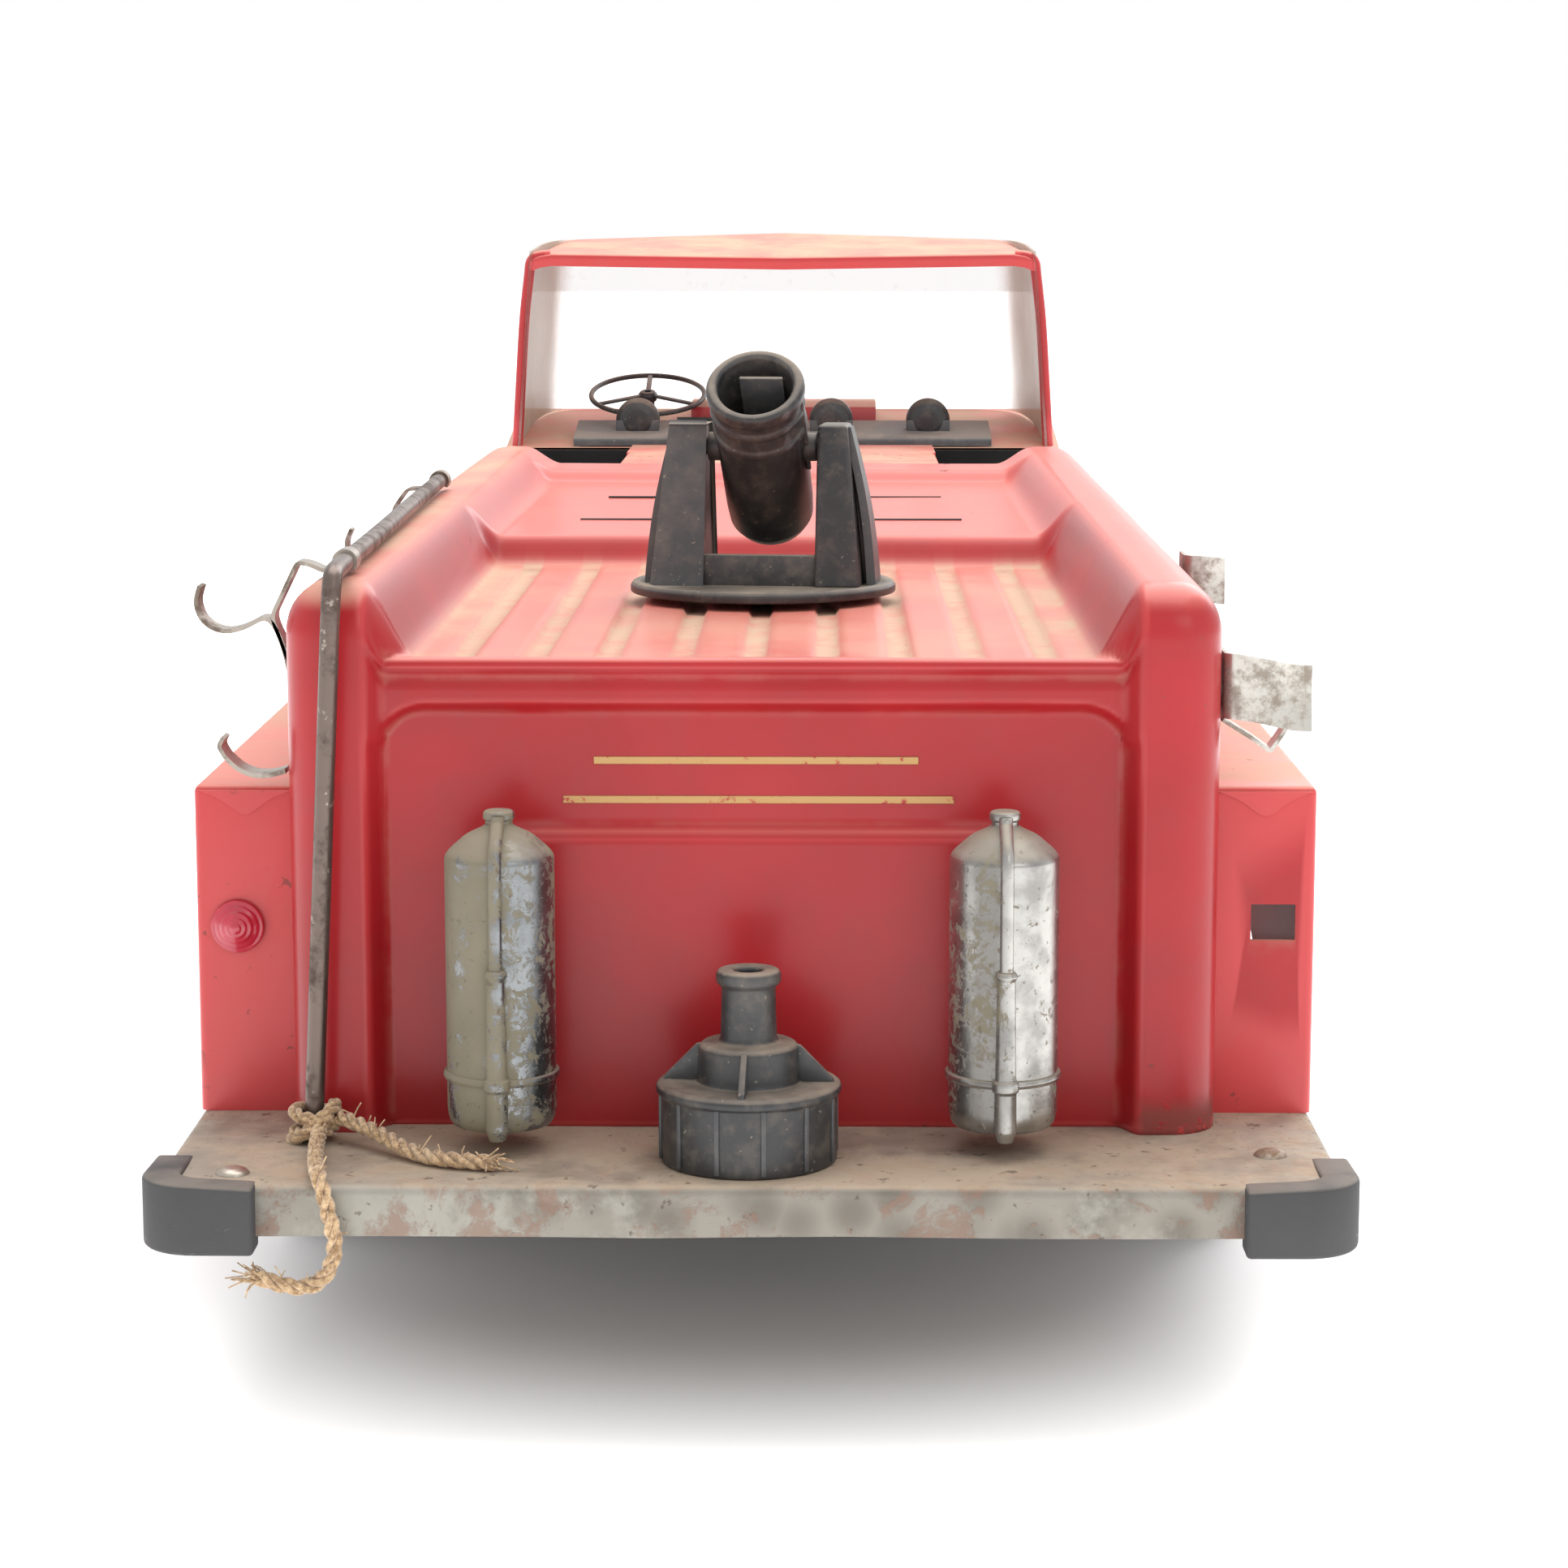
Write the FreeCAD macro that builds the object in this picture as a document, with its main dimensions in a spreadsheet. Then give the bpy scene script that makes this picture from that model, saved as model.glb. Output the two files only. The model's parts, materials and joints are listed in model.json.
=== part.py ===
"""Pressed-steel toy fire engine with a swivelling water cannon, seen best from its rear step.

Row frame: +X is the engine's right side, +Y its front, +Z up. The origin is on the floor, under the
middle of the engine's overall box. Lengths are millimetres. Distances along the engine are measured
forward from the rear bumper's back face, and heights either from the floor or from the step's top.
"""
import FreeCAD, Part
import math
import os

import Sketcher
from FreeCAD import Placement, Rotation, Vector

doc = FreeCAD.newDocument("FireEngine")

# ---------------------------------------------------------------- driving dimensions
DRIVING = {
    "overall_length": 645.0,
    "step_top": 50.0,          # the step's top face above the floor
    "steel": 1.0,              # pressed sheet
    "body_half": 90.6,         # half width of the hose bed body
    "fender_half": 111.0,      # half width over the fender boxes and the step
    "guard_half": 113.5,       # half width over the corner guards
    "body_rear": 43.0,         # back face of the hose bed body
    "bed_front": 447.0,        # where the hose bed body meets the cab
    "rail_top": 108.0,         # above the step
    "rail_inner": 75.0,
    "floor_rise": 92.5,
    "pan_rise": 99.5,
    "deck_rise": 103.0,
    "pan_start": 241.0,
    "deck_start": 417.0,
    "well_front": 510.0,       # front edge of the two seat wells
    "well_inner": 49.0,
    "well_floor": 44.0,
    "cab_rise": 100.7,         # top of the cab walls
    "cab_front": 634.0,
    "dash_start": 548.0,
    "fender_rear": 61.0,
    "fender_front": 300.0,
    "fender_top": 66.0,
    "lamp_rise": 37.7,
    "lamp_offset": 102.7,
    "tyre_radius": 32.0,
    "tyre_width": 15.0,
    "tyre_inner": 94.0,
    "hub_radius": 19.0,
    "rear_axle": 172.0,
    "front_axle": 517.0,
    "axle_radius": 2.5,
    "running_gap": 0.06,
    "arch_radius": 38.0,
    "cannon_along": 166.0,
    "cannon_base_radius": 29.7,
    "trunnion_rise": 126.0,
    "cannon_yaw": -6.5,
    "cannon_elevation": 46.0,
    "barrel_radius": 10.0,
    "barrel_bore": 8.3,
    "muzzle_radius": 10.9,
    "adapter_along": 25.0,
    "cap_radius": 16.9,
    "cap_height": 15.2,
    "nipple_radius": 5.35,
    "nipple_bore": 2.6,
    "bottle_radius": 10.4,
    "bottle_offset": 48.0,
    "bottle_along": 32.2,
    "bottle_foot": 5.0,
    "bottle_height": 61.0,
    "rod_radius": 1.9,
    "rod_foot": 85.2,          # the grab rail leans in from its foot to its shoulder
    "rod_shoulder": 79.6,
    "rod_tip": 83.8,
    "rod_along": 37.5,
    "rod_rise": 110.3,
    "rod_front": 280.0,
    "twine_radius": 1.6,
    "screen_rear": 550.0,
    "screen_front": 612.0,
    "screen_half": 89.0,
    "screen_rise": 164.3,
    "rim_radius": 20.0,        # steering wheel
}

sheet = doc.addObject("Spreadsheet::Sheet", "Sizes")
for row, (alias, number) in enumerate(DRIVING.items(), start=1):
    sheet.set(f"A{row}", alias)
    sheet.set(f"B{row}", str(number))
    sheet.setAlias(f"B{row}", alias)
doc.recompute()


class Size:
    """A length with its value now and the expression that binds it to the sheet."""

    def __init__(self, value, text=None):
        self.value = float(value)
        self.text = text or repr(float(value))

    def joined(self, other, sign, value, flip=False):
        first, second = (other, self) if flip else (self, other)
        return Size(value, f"({first.text} {sign} {second.text})")

    def __add__(self, other):
        other = size_of(other)
        return self.joined(other, "+", self.value + other.value)

    def __radd__(self, other):
        return size_of(other) + self

    def __sub__(self, other):
        other = size_of(other)
        return self.joined(other, "-", self.value - other.value)

    def __rsub__(self, other):
        return size_of(other) - self

    def __mul__(self, other):
        other = size_of(other)
        return self.joined(other, "*", self.value * other.value)

    __rmul__ = __mul__

    def __truediv__(self, other):
        other = size_of(other)
        return self.joined(other, "/", self.value / other.value)

    def __neg__(self):
        return 0 - self


def size_of(number):
    return number if isinstance(number, Size) else Size(number)


class Sizes:
    """Every alias of the sheet as an attribute."""

    def __init__(self):
        for alias in DRIVING:
            setattr(self, alias, Size(sheet.get(alias), f"Sizes.{alias}"))


S = Sizes()
LEFT, RIGHT = -1, 1


def along(distance):
    """Row Y of a place measured forward from the rear bumper's back face."""
    return size_of(distance) - S.overall_length / 2


def above(rise):
    """Row Z of a height measured from the step's top."""
    return size_of(rise) + S.step_top


# ---------------------------------------------------------------- building blocks
made = {}


def bind(thing, prop, size):
    thing.setExpression(prop, size_of(size).text)


def place(thing, x, y, z, turn=None):
    if turn:
        thing.Placement = Placement(Vector(), turn)
    for axis, size in zip("xyz", (x, y, z)):
        bind(thing, f"Placement.Base.{axis}", size)
    return thing


def box(x0, x1, y0, y1, z0, z1):
    """A block between two X, two Y and two Z planes."""
    thing = doc.addObject("Part::Box", "Block")
    low = [size_of(v) for v in (x0, y0, z0)]
    high = [size_of(v) for v in (x1, y1, z1)]
    for prop, a, b in zip(("Length", "Width", "Height"), low, high):
        bind(thing, prop, b - a)
    return place(thing, *low)


ALONG_X = Rotation(Vector(0, 1, 0), 90)
ALONG_Y = Rotation(Vector(1, 0, 0), -90)
ALONG_Z = Rotation()


def cylinder(x, y, z, radius, height, turn=ALONG_Z):
    thing = doc.addObject("Part::Cylinder", "Round")
    bind(thing, "Radius", radius)
    bind(thing, "Height", height)
    return place(thing, x, y, z, turn)


def ball(x, y, z, radius):
    thing = doc.addObject("Part::Sphere", "Ball")
    bind(thing, "Radius", radius)
    return place(thing, x, y, z)


def ring(x, y, z, radius, thickness, turn=ALONG_Z):
    thing = doc.addObject("Part::Torus", "Ring")
    bind(thing, "Radius1", radius)
    bind(thing, "Radius2", thickness)
    return place(thing, x, y, z, turn)


def fuse(*things):
    joined = doc.addObject("Part::MultiFuse", "Joined")
    joined.Shapes = list(things)
    return joined


def cut(base, *tools):
    less = doc.addObject("Part::Cut", "Less")
    less.Base = base
    less.Tool = tools[0] if len(tools) == 1 else fuse(*tools)
    return less


def common(base, tool):
    shared = doc.addObject("Part::Common", "Shared")
    shared.Base = base
    shared.Tool = tool
    return shared


def rounded(thing, radius, wanted):
    """Fillets every edge of thing that wanted(edge) picks."""
    doc.recompute()
    picked = [i for i, edge in enumerate(thing.Shape.Edges, start=1) if wanted(edge)]
    eased = doc.addObject("Part::Fillet", "Eased")
    eased.Base = thing
    eased.Edges = [(i, radius, radius) for i in picked]
    return eased


def runs(edge, axis):
    """True if a straight edge is parallel to a row axis."""
    if len(edge.Vertexes) != 2:
        return False
    step = edge.Vertexes[1].Point - edge.Vertexes[0].Point
    rest = [abs(v) for v in step]
    longest = rest.pop(axis)
    return longest > 0.5 and max(rest) < 1e-4


def middle(edge):
    return edge.CenterOfMass


def feature(shape, x=0, y=0, z=0, turn=None):
    """A shape made directly, placed afterwards."""
    thing = doc.addObject("Part::Feature", "Made")
    thing.Shape = shape
    return place(thing, x, y, z, turn)


def name(thing, label):
    """Makes thing the sub-part called label."""
    thing.Label = label
    made[label] = thing
    return thing


# ---------------------------------------------------------------- sketches
def sketched(body, label, role, points, offset=None):
    """A closed straight-sided sketch on one of body's own origin planes, bound point by point."""
    plane = next(f for f in body.Origin.OriginFeatures if f.Role == role)
    sketch = body.newObject("Sketcher::SketchObject", label)
    sketch.AttachmentSupport = (plane, [""])
    sketch.MapMode = "FlatFace"
    if offset is not None:
        bind(sketch, "AttachmentOffset.Base.z", offset)
    points = [(size_of(a), size_of(b)) for a, b in points]
    count = len(points)
    for i, (a, b) in enumerate(points):
        c, d = points[(i + 1) % count]
        sketch.addGeometry(Part.LineSegment(Vector(a.value, b.value, 0), Vector(c.value, d.value, 0)), False)
    for i in range(count):
        sketch.addConstraint(Sketcher.Constraint("Coincident", i, 2, (i + 1) % count, 1))
    for i, pair in enumerate(points):
        for kind, axis, size in (("DistanceX", -2, pair[0]), ("DistanceY", -1, pair[1])):
            if abs(size.value) < 1e-9:
                sketch.addConstraint(Sketcher.Constraint("PointOnObject", i, 1, axis))
                continue
            sketch.addConstraint(Sketcher.Constraint(kind, -1, 1, i, 1, size.value))
            bind(sketch, f"Constraints[{sketch.ConstraintCount - 1}]", size)
    return sketch


def turned(label, outline):
    """A body of revolution about its own Z axis, from points (radius, height)."""
    body = doc.addObject("PartDesign::Body", label.title().replace("_", ""))
    profile = sketched(body, "Outline", "XZ_Plane", outline)
    spin = body.newObject("PartDesign::Revolution", "Turned")
    spin.Profile = profile
    spin.ReferenceAxis = (profile, ["V_Axis"])
    spin.Angle = 360.0
    return body


# ---------------------------------------------------------------- chassis, step and wheels
def chassis():
    half = S.body_half - 1.6
    plate = box(-half, half, along(80), along(S.cab_front), above(-1.2), above(0))
    flanges = []
    for side in (LEFT, RIGHT):
        web = side * S.well_inner
        flanges.append(box(web - 0.6, web + 0.6, along(80), along(S.cab_front - 30), above(-10), above(-1.2)))
    name(fuse(plate, *flanges), "chassis_pan")


def guard_blocks(side, grown=0.0):
    """The two arms of a corner guard, as blocks."""
    outer = side * (S.guard_half + grown)
    inner = side * (S.guard_half - 7)
    end = side * (S.guard_half - 22)
    low, high = above(-12.5 - grown), above(0.3 + grown)
    across = sorted((outer, end), key=lambda s: s.value)
    beside = sorted((outer, inner), key=lambda s: s.value)
    return (
        box(*across, along(0 - grown), along(7.5), low, high),
        box(*beside, along(0 - grown), along(26), low, high),
    )


def step():
    half = S.fender_half
    outer = box(-half, half, along(4), along(80), above(-9.6), above(0))
    rear_top = rounded(
        outer, 1.6,
        lambda e: runs(e, 0) and middle(e).y < along(6).value and middle(e).z > above(-1).value,
    )
    hollow = box(-half + S.steel, half - S.steel, along(4 + S.steel), along(81), above(-10), above(-S.steel))
    shell = cut(rear_top, hollow)
    name(cut(shell, *guard_blocks(LEFT, 0.02), *guard_blocks(RIGHT, 0.02)), "rear_step")
    for side, label in ((LEFT, "step_corner_left"), (RIGHT, "step_corner_right")):
        block = fuse(*guard_blocks(side))
        corner = rounded(
            block, 6.5,
            lambda e, s=side: (runs(e, 2) and middle(e).x * s > S.guard_half.value - 0.5
                               and middle(e).y < along(1).value),
        )
        name(corner, label)
    heads = []
    for x, distance in ((-97, 13), (99, 28)):
        dome = ball(x, along(distance), above(-2.6), 4.1)
        below = box(x - 6, x + 6, along(distance - 6), along(distance + 6), above(-8), above(0))
        heads.append(cut(dome, below))
    name(fuse(*heads), "step_rivets")


def wheels(which, axle):
    """One axle with two hubs and two tyres, turning in four bracket plates."""
    rise = S.tyre_radius
    half = S.tyre_inner + S.tyre_width - 1
    name(cylinder(-half, along(axle), rise, S.axle_radius, 2 * half, ALONG_X), f"{which}_axle")
    r, w, hub = S.tyre_radius, S.tyre_width, S.hub_radius
    hubs = []
    for side, place_name in ((LEFT, "left"), (RIGHT, "right")):
        turn = Rotation(Vector(0, 1, 0), 90 * side)
        start = side * S.tyre_inner
        tyre = turned(
            f"{which}_tyre_{place_name}",
            [(hub, 1), (r - 5, 0), (r - 1.2, 1.5), (r, 4), (r, w - 4), (r - 1.2, w - 1.5), (r - 5, w),
             (hub, w - 1)],
        )
        place(tyre, start, along(axle), rise, turn)
        name(tyre, f"{which}_tyre_{place_name}")
        disc = turned(
            f"{which}_hub_{place_name}",
            [(S.axle_radius, 1), (hub, 1), (hub, w - 1), (hub - 2, w - 1), (hub - 4, w - 4), (9, w - 5),
             (7, w - 1.5), (4, w - 1), (S.axle_radius, w - 1)],
        )
        hubs.append(place(disc, start, along(axle), rise, turn))
    name(fuse(*hubs), f"{which}_hubs")


def brackets():
    plates = []
    for axle in (S.rear_axle, S.front_axle):
        for side in (LEFT, RIGHT):
            low = side * 62 - 1.25
            plate = box(low, low + 2.5, along(axle - 11), along(axle + 11), S.tyre_radius - 8, above(-1.2))
            hole = cylinder(low - 1, along(axle), S.tyre_radius, S.axle_radius + S.running_gap, 5, ALONG_X)
            plates.append(cut(plate, hole))
    name(fuse(*plates), "axle_brackets")


# ---------------------------------------------------------------- hose bed body and fenders
def hose_bed():
    half, skin, inner = S.body_half, S.steel, S.rail_inner
    rear, front, pan, deck = S.body_rear, S.bed_front, S.pan_start, S.deck_start
    low_rise, sky, corner = S.floor_rise - 1.5, above(130), 9.5
    block = box(-half, half, along(rear), along(front), above(0), above(S.rail_top))
    soft = rounded(
        block, corner,
        lambda e: (runs(e, 1) and middle(e).z > above(90).value
                   or runs(e, 2) and middle(e).y < along(50).value),
    )
    trays = [
        box(-inner, inner, along(rear + 7), along(pan), above(S.floor_rise), sky),
        box(-inner, inner, along(pan - 1), along(deck), above(S.pan_rise), sky),
        box(-inner, inner, along(deck - 1), along(front + 1), above(S.deck_rise), sky),
        box(-inner, inner, along(rear - 1), along(rear + 8), above(S.floor_rise + 0.6), sky),
        box(-inner, inner, along(rear - 1), along(rear + 4), above(60), above(84)),
    ]
    under = [
        box(-inner, inner, along(rear + 5), along(pan + 1), above(-1), above(S.floor_rise - skin)),
        box(-inner, inner, along(pan), along(front - skin), above(-1), above(S.pan_rise - skin)),
        box(-half + skin, half - skin, along(rear + 10), along(front - skin), above(-1), above(low_rise)),
        box(-inner, inner, along(rear + skin), along(rear + 6), above(-1), above(59)),
    ]
    for side in (LEFT, RIGHT):
        x0, x1 = sorted((side * (inner + 1), side * (half - 6.6)), key=lambda s: s.value)
        under.append(box(x0, x1, along(rear + 11), along(front - skin), above(60), above(S.rail_top - 1.8)))
    shell = cut(soft, *trays, *under)
    rib_pitch, rib_radius, rib_length = 14.3, 4.2, 178
    ribs = [
        cylinder(i * rib_pitch, along(rear + 12), above(S.floor_rise - 3.2), rib_radius, rib_length, ALONG_Y)
        for i in range(-4, 5)
    ]
    lid = box(-inner + 1, inner - 1, along(rear + 10), along(pan - 2), above(S.floor_rise - 0.5), sky)
    bars = common(fuse(*ribs), lid)
    hole = cylinder(0, along(S.cannon_along), above(70), 4 + S.running_gap, 40)
    name(cut(fuse(shell, bars), hole), "hose_bed_body")


def wheel_arch(side, axle):
    start = S.body_half - 1 if side == RIGHT else -S.fender_half - 6
    return cylinder(start, along(axle), S.tyre_radius, S.arch_radius, 27, ALONG_X)


def boxed_fender(side, start, end, top):
    """A hollow box on the body's side, open below and towards the body."""
    x0, x1 = sorted((side * S.body_half, side * S.fender_half), key=lambda s: s.value)
    block = box(x0, x1, along(start), along(end), above(0), above(top))
    soft = rounded(
        block, 3,
        lambda e: runs(e, 1) and middle(e).z > above(20).value and abs(middle(e).x) > S.body_half.value + 10,
    )
    inner = sorted((side * (S.body_half - 1), side * (S.fender_half - S.steel)), key=lambda s: s.value)
    hollow = box(*inner, along(start + S.steel), along(end - S.steel), above(-1), above(top - S.steel))
    return cut(soft, hollow)


def fenders():
    boards, panels = [], []
    for side, label in ((LEFT, "left"), (RIGHT, "right")):
        shell = boxed_fender(side, S.fender_rear, S.fender_front, S.fender_top)
        lamp = side * S.lamp_offset
        if side == LEFT:
            hole = cylinder(lamp, along(S.fender_rear - 2), above(S.lamp_rise), 4.05, 6, ALONG_Y)
        else:
            hole = box(lamp - 4.45, lamp + 4.45, along(S.fender_rear - 2), along(S.fender_rear + 4),
                       above(S.lamp_rise - 3.2), above(S.lamp_rise + 4.2))
        name(cut(shell, hole, wheel_arch(side, S.rear_axle)), f"fender_{label}")

        x0, x1 = sorted((side * S.fender_half, side * (S.fender_half + 1)), key=lambda s: s.value)
        skin = box(x0, x1, along(S.fender_rear + 22), along(S.fender_front - 8), above(3), above(56))
        face = side * (S.fender_half + 0.5)
        f0, f1 = sorted((face, side * (S.fender_half + 2)), key=lambda s: s.value)
        doors = [
            box(f0, f1, along(start), along(start + width), above(low), above(50))
            for start, width, low in ((90, 34, 10), (146, 52, 27), (222, 60, 10))
        ]
        name(cut(skin, *doors, wheel_arch(side, S.rear_axle)), f"side_panel_{label}")

        front = boxed_fender(side, 470, 564, 34)
        name(cut(front, wheel_arch(side, S.front_axle)), f"front_fender_{label}")

        b0, b1 = sorted((side * S.body_half, side * S.fender_half), key=lambda s: s.value)
        boards.append(box(b0, b1, along(S.fender_front), along(470), above(0), above(3)))

        p0, p1 = sorted((side * S.body_half, side * (S.body_half + 2)), key=lambda s: s.value)
        panel = box(p0, p1, along(308), along(438), above(12), above(88))
        turn = Rotation(Vector(0, 1, 0), 90 * side)
        fittings = [cylinder(side * (S.body_half + 1.5), along(d), above(rise), r, depth, turn)
                    for d, rise, r, depth in
                    ((330, 32, 8, 8), (360, 32, 6, 6), (390, 32, 6, 6), (417, 32, 8, 8),
                     (345, 66, 7, 3), (368, 66, 7, 3), (391, 66, 7, 3), (414, 66, 4, 5))]
        panels.append(fuse(panel, *fittings))
    name(fuse(*boards), "running_boards")
    name(fuse(*panels), "pump_panels")

    lens = fuse(
        ball(-S.lamp_offset, along(S.fender_rear + 0.2), above(S.lamp_rise), 4.3),
        cylinder(-S.lamp_offset, along(S.fender_rear - 1.2), above(S.lamp_rise), 5.35, 1.2, ALONG_Y),
    )
    plug = cylinder(-S.lamp_offset, along(S.fender_rear - 0.2), above(S.lamp_rise), 4.0, 3, ALONG_Y)
    trim = box(-S.fender_half, -S.body_half, along(S.fender_rear), along(S.fender_rear + 9), above(20),
               above(50))
    name(fuse(cut(lens, trim), plug), "tail_lens_left")


# ---------------------------------------------------------------- cab
def cab():
    half, skin, top = S.body_half, 1.2, S.cab_rise
    bed, well, dash_start, front = S.bed_front, S.well_front, S.dash_start, S.cab_front
    nose_corner = 9.0

    def at_nose(edge):
        return runs(edge, 2) and middle(edge).y > along(front - 20).value

    tub = box(-half, half, along(bed), along(front), above(0), above(S.well_floor))
    tub_hollow = box(-half + skin, half - skin, along(bed + skin), along(front - skin), above(-1),
                     above(S.well_floor - skin))
    upper = rounded(box(-half, half, along(well), along(front), above(S.well_floor), above(top)), nose_corner,
                    at_nose)
    footwell = rounded(
        box(-half + skin, half - skin, along(well + skin), along(front - skin), above(S.well_floor),
            above(top + 1)),
        nose_corner - skin, at_nose)
    sight_line = box(-half + skin, half - skin, along(well - 1), along(well + 3), above(93), above(top + 1))
    shell = cut(fuse(cut(tub, tub_hollow), upper), footwell, sight_line)
    bridge = box(-S.well_inner, S.well_inner, along(well), along(dash_start), above(top - 0.2), above(top + 1))
    seat_wall = box(-S.well_inner, S.well_inner, along(well), along(well + skin), above(92), above(top))
    name(fuse(shell, bridge, seat_wall), "cab_shell")

    inner = S.well_inner
    cover = box(-inner, inner, along(bed), along(well), above(S.well_floor), above(top + 1))
    cover_soft = rounded(cover, 1.5, lambda e: runs(e, 1) and middle(e).z > above(90).value)
    cover_hollow = box(-inner + skin, inner - skin, along(bed + skin), along(well - skin),
                       above(S.well_floor - 1), above(top - 0.2))
    name(cut(cover_soft, cover_hollow), "engine_cover")

    seats = []
    for side in (LEFT, RIGHT):
        x0, x1 = sorted((side * (inner + 3), side * (half - 6)), key=lambda s: s.value)
        seats.append(box(x0, x1, along(bed + 4), along(bed + 34), above(S.well_floor), above(62)))
    name(fuse(*seats), "jump_seats")

    wide = half - 6
    bench = box(-wide, wide, along(well + 6), along(dash_start - 4), above(S.well_floor), above(66))
    back = box(-wide, wide, along(well + skin), along(well + 6), above(S.well_floor), above(92))
    name(fuse(bench, back), "bench_seat")


def profile_prism(points, half):
    """A prism across the engine from (distance along, rise) points."""
    wire = Part.makePolygon(
        [Vector(-half.value, along(a).value, above(b).value) for a, b in points + points[:1]]
    )
    return Part.Face(wire).extrude(Vector(2 * half.value, 0, 0))


def dash():
    half, start, front, rise = S.body_half, S.dash_start.value, S.cab_front.value, S.cab_rise.value
    crest, crest_rise = S.screen_front.value, rise + 9.3
    deck = feature(profile_prism(
        [(start, rise), (crest, crest_rise), (front - 8, rise + 6.8), (front - 2, rise + 2.8), (front, rise)],
        half))
    top = feature(profile_prism(
        [(580, rise), (582, rise + 11.5), (588, rise + 13), (606, rise + 13), (614, rise + 9), (616, rise)],
        size_of(31)))
    hollow = feature(profile_prism(
        [(start + 1.2, rise - 1), (start + 1.2, rise - 0.9), (crest, crest_rise - 1.3),
         (front - 9, rise + 5.6), (front - 3, rise + 1.8), (front - 1.4, rise - 1)], half - 1.2))
    name(cut(fuse(deck, top), hollow), "dash_panel")

    back, far = start + 1, start + 28
    plate = feature(profile_prism(
        [(back, rise + 0.5), (back, rise + 3), (back + 2, rise + 4), (far, rise + 7.5), (far, rise + 0.5)],
        size_of(68.5)))
    name(cut(plate, deck), "gauge_panel")
    dials, pitch, radius, centre = [], 32, 7.2, rise + 8.5
    for i in range(4):
        x = (i - 1.5) * pitch
        pod = fuse(
            cylinder(x, along(start + 10), above(centre), radius, 7, ALONG_Y),
            box(x - radius, x + radius, along(start + 10), along(start + 17), above(rise + 1), above(centre)),
        )
        dials.append(pod)
    name(cut(fuse(*dials), plate, deck), "gauge_pods")
    return deck, top


def screen_ring(inset, low, high, lean):
    """A prism whose outline wraps round the cab's front, leaning inwards as it rises."""
    def outline(rise, tuck):
        side, rear = S.screen_half.value - inset - tuck, S.screen_rear.value
        front = S.screen_front.value - inset
        half_plan = [(side, rear), (side - 0.6, front - 24), (side - 10, front)]
        points = half_plan + [(-x, y) for x, y in reversed(half_plan)]
        return Part.makePolygon(
            [Vector(x, along(y).value, above(rise).value) for x, y in points + points[:1]]
        )
    return Part.makeLoft([outline(low, 0), outline(high, lean)], True, True)


def windshield(deck, top):
    """A sloping roof plate on two rear posts, with a clear pane wrapping round below it."""
    low, high, tuck = S.cab_rise.value, S.screen_rise.value, 4.7
    rear, front, band, sky = S.screen_rear, S.screen_front, 4.8, 200
    outer = feature(screen_ring(0, low, high, tuck))
    inner = feature(screen_ring(2.4, low - 1, high + 1, tuck + 0.1))
    posts = common(cut(outer, inner), box(-95, 95, along(rear), along(rear + 5), above(low), above(high)))
    core = box(-80, 80, along(rear - 1), along(rear + 6), above(90), above(high - band))
    band_outer = feature(screen_ring(tuck, high - band, high, 0.1))
    band_inner = feature(screen_ring(tuck + 2.6, high - band - 2, high + 1, 0.1))
    behind = box(-95, 95, along(rear + 1.2), along(front + 5), above(90), above(sky))
    header = cut(band_outer, band_inner, behind)
    wide = S.screen_half - tuck
    flange = box(-wide, wide, along(rear), along(rear + 1.2), above(high - band), above(high))
    slope = [(rear.value, high - 1.6), (rear.value, high + 0.6), (front.value + 0.6, high + 6.6),
             (front.value + 0.6, high + 4.4)]
    roof = feature(profile_prism(slope, wide - 1))
    name(cut(fuse(cut(posts, core), header, flange, roof), deck, top), "windshield_frame")

    pane_outer = feature(screen_ring(2.9, low, high, tuck))
    glass = cut(pane_outer, feature(screen_ring(3.7, low - 1, high + 1, tuck + 0.1)))
    rear_edge = box(-95, 95, along(rear - 1), along(rear + 5.2), above(90), above(sky))
    name(cut(glass, rear_edge, deck, top, made["windshield_frame"]), "windshield_pane")


def steering():
    tilt = Rotation(Vector(1, 0, 0), 17)
    x, y, z = -45.9, along(588), above(116)
    rim = ring(0, 0, 0, S.rim_radius - 0.9, 0.9)
    hub = cylinder(0, 0, -2, 3.2, 3.4)
    spokes = []
    for angle in (90, 210, 330):
        spoke = box(0, S.rim_radius - 0.9, -1, 1, -0.6, 0.6)
        spoke.Placement = Placement(Vector(), Rotation(Vector(0, 0, 1), angle)) * spoke.Placement
        spokes.append(spoke)
    bore = cylinder(0, 0, -3, 1.0 + S.running_gap, 4)
    wheel = cut(fuse(rim, hub, *spokes), bore)
    place(wheel, x, y, z, tilt)
    name(wheel, "steering_wheel")
    tube = fuse(cylinder(0, 0, -16, 2.2, 13.6), cylinder(0, 0, -4, 1.0, 4.6))
    place(tube, x, y, z, tilt)
    return tube


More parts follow.
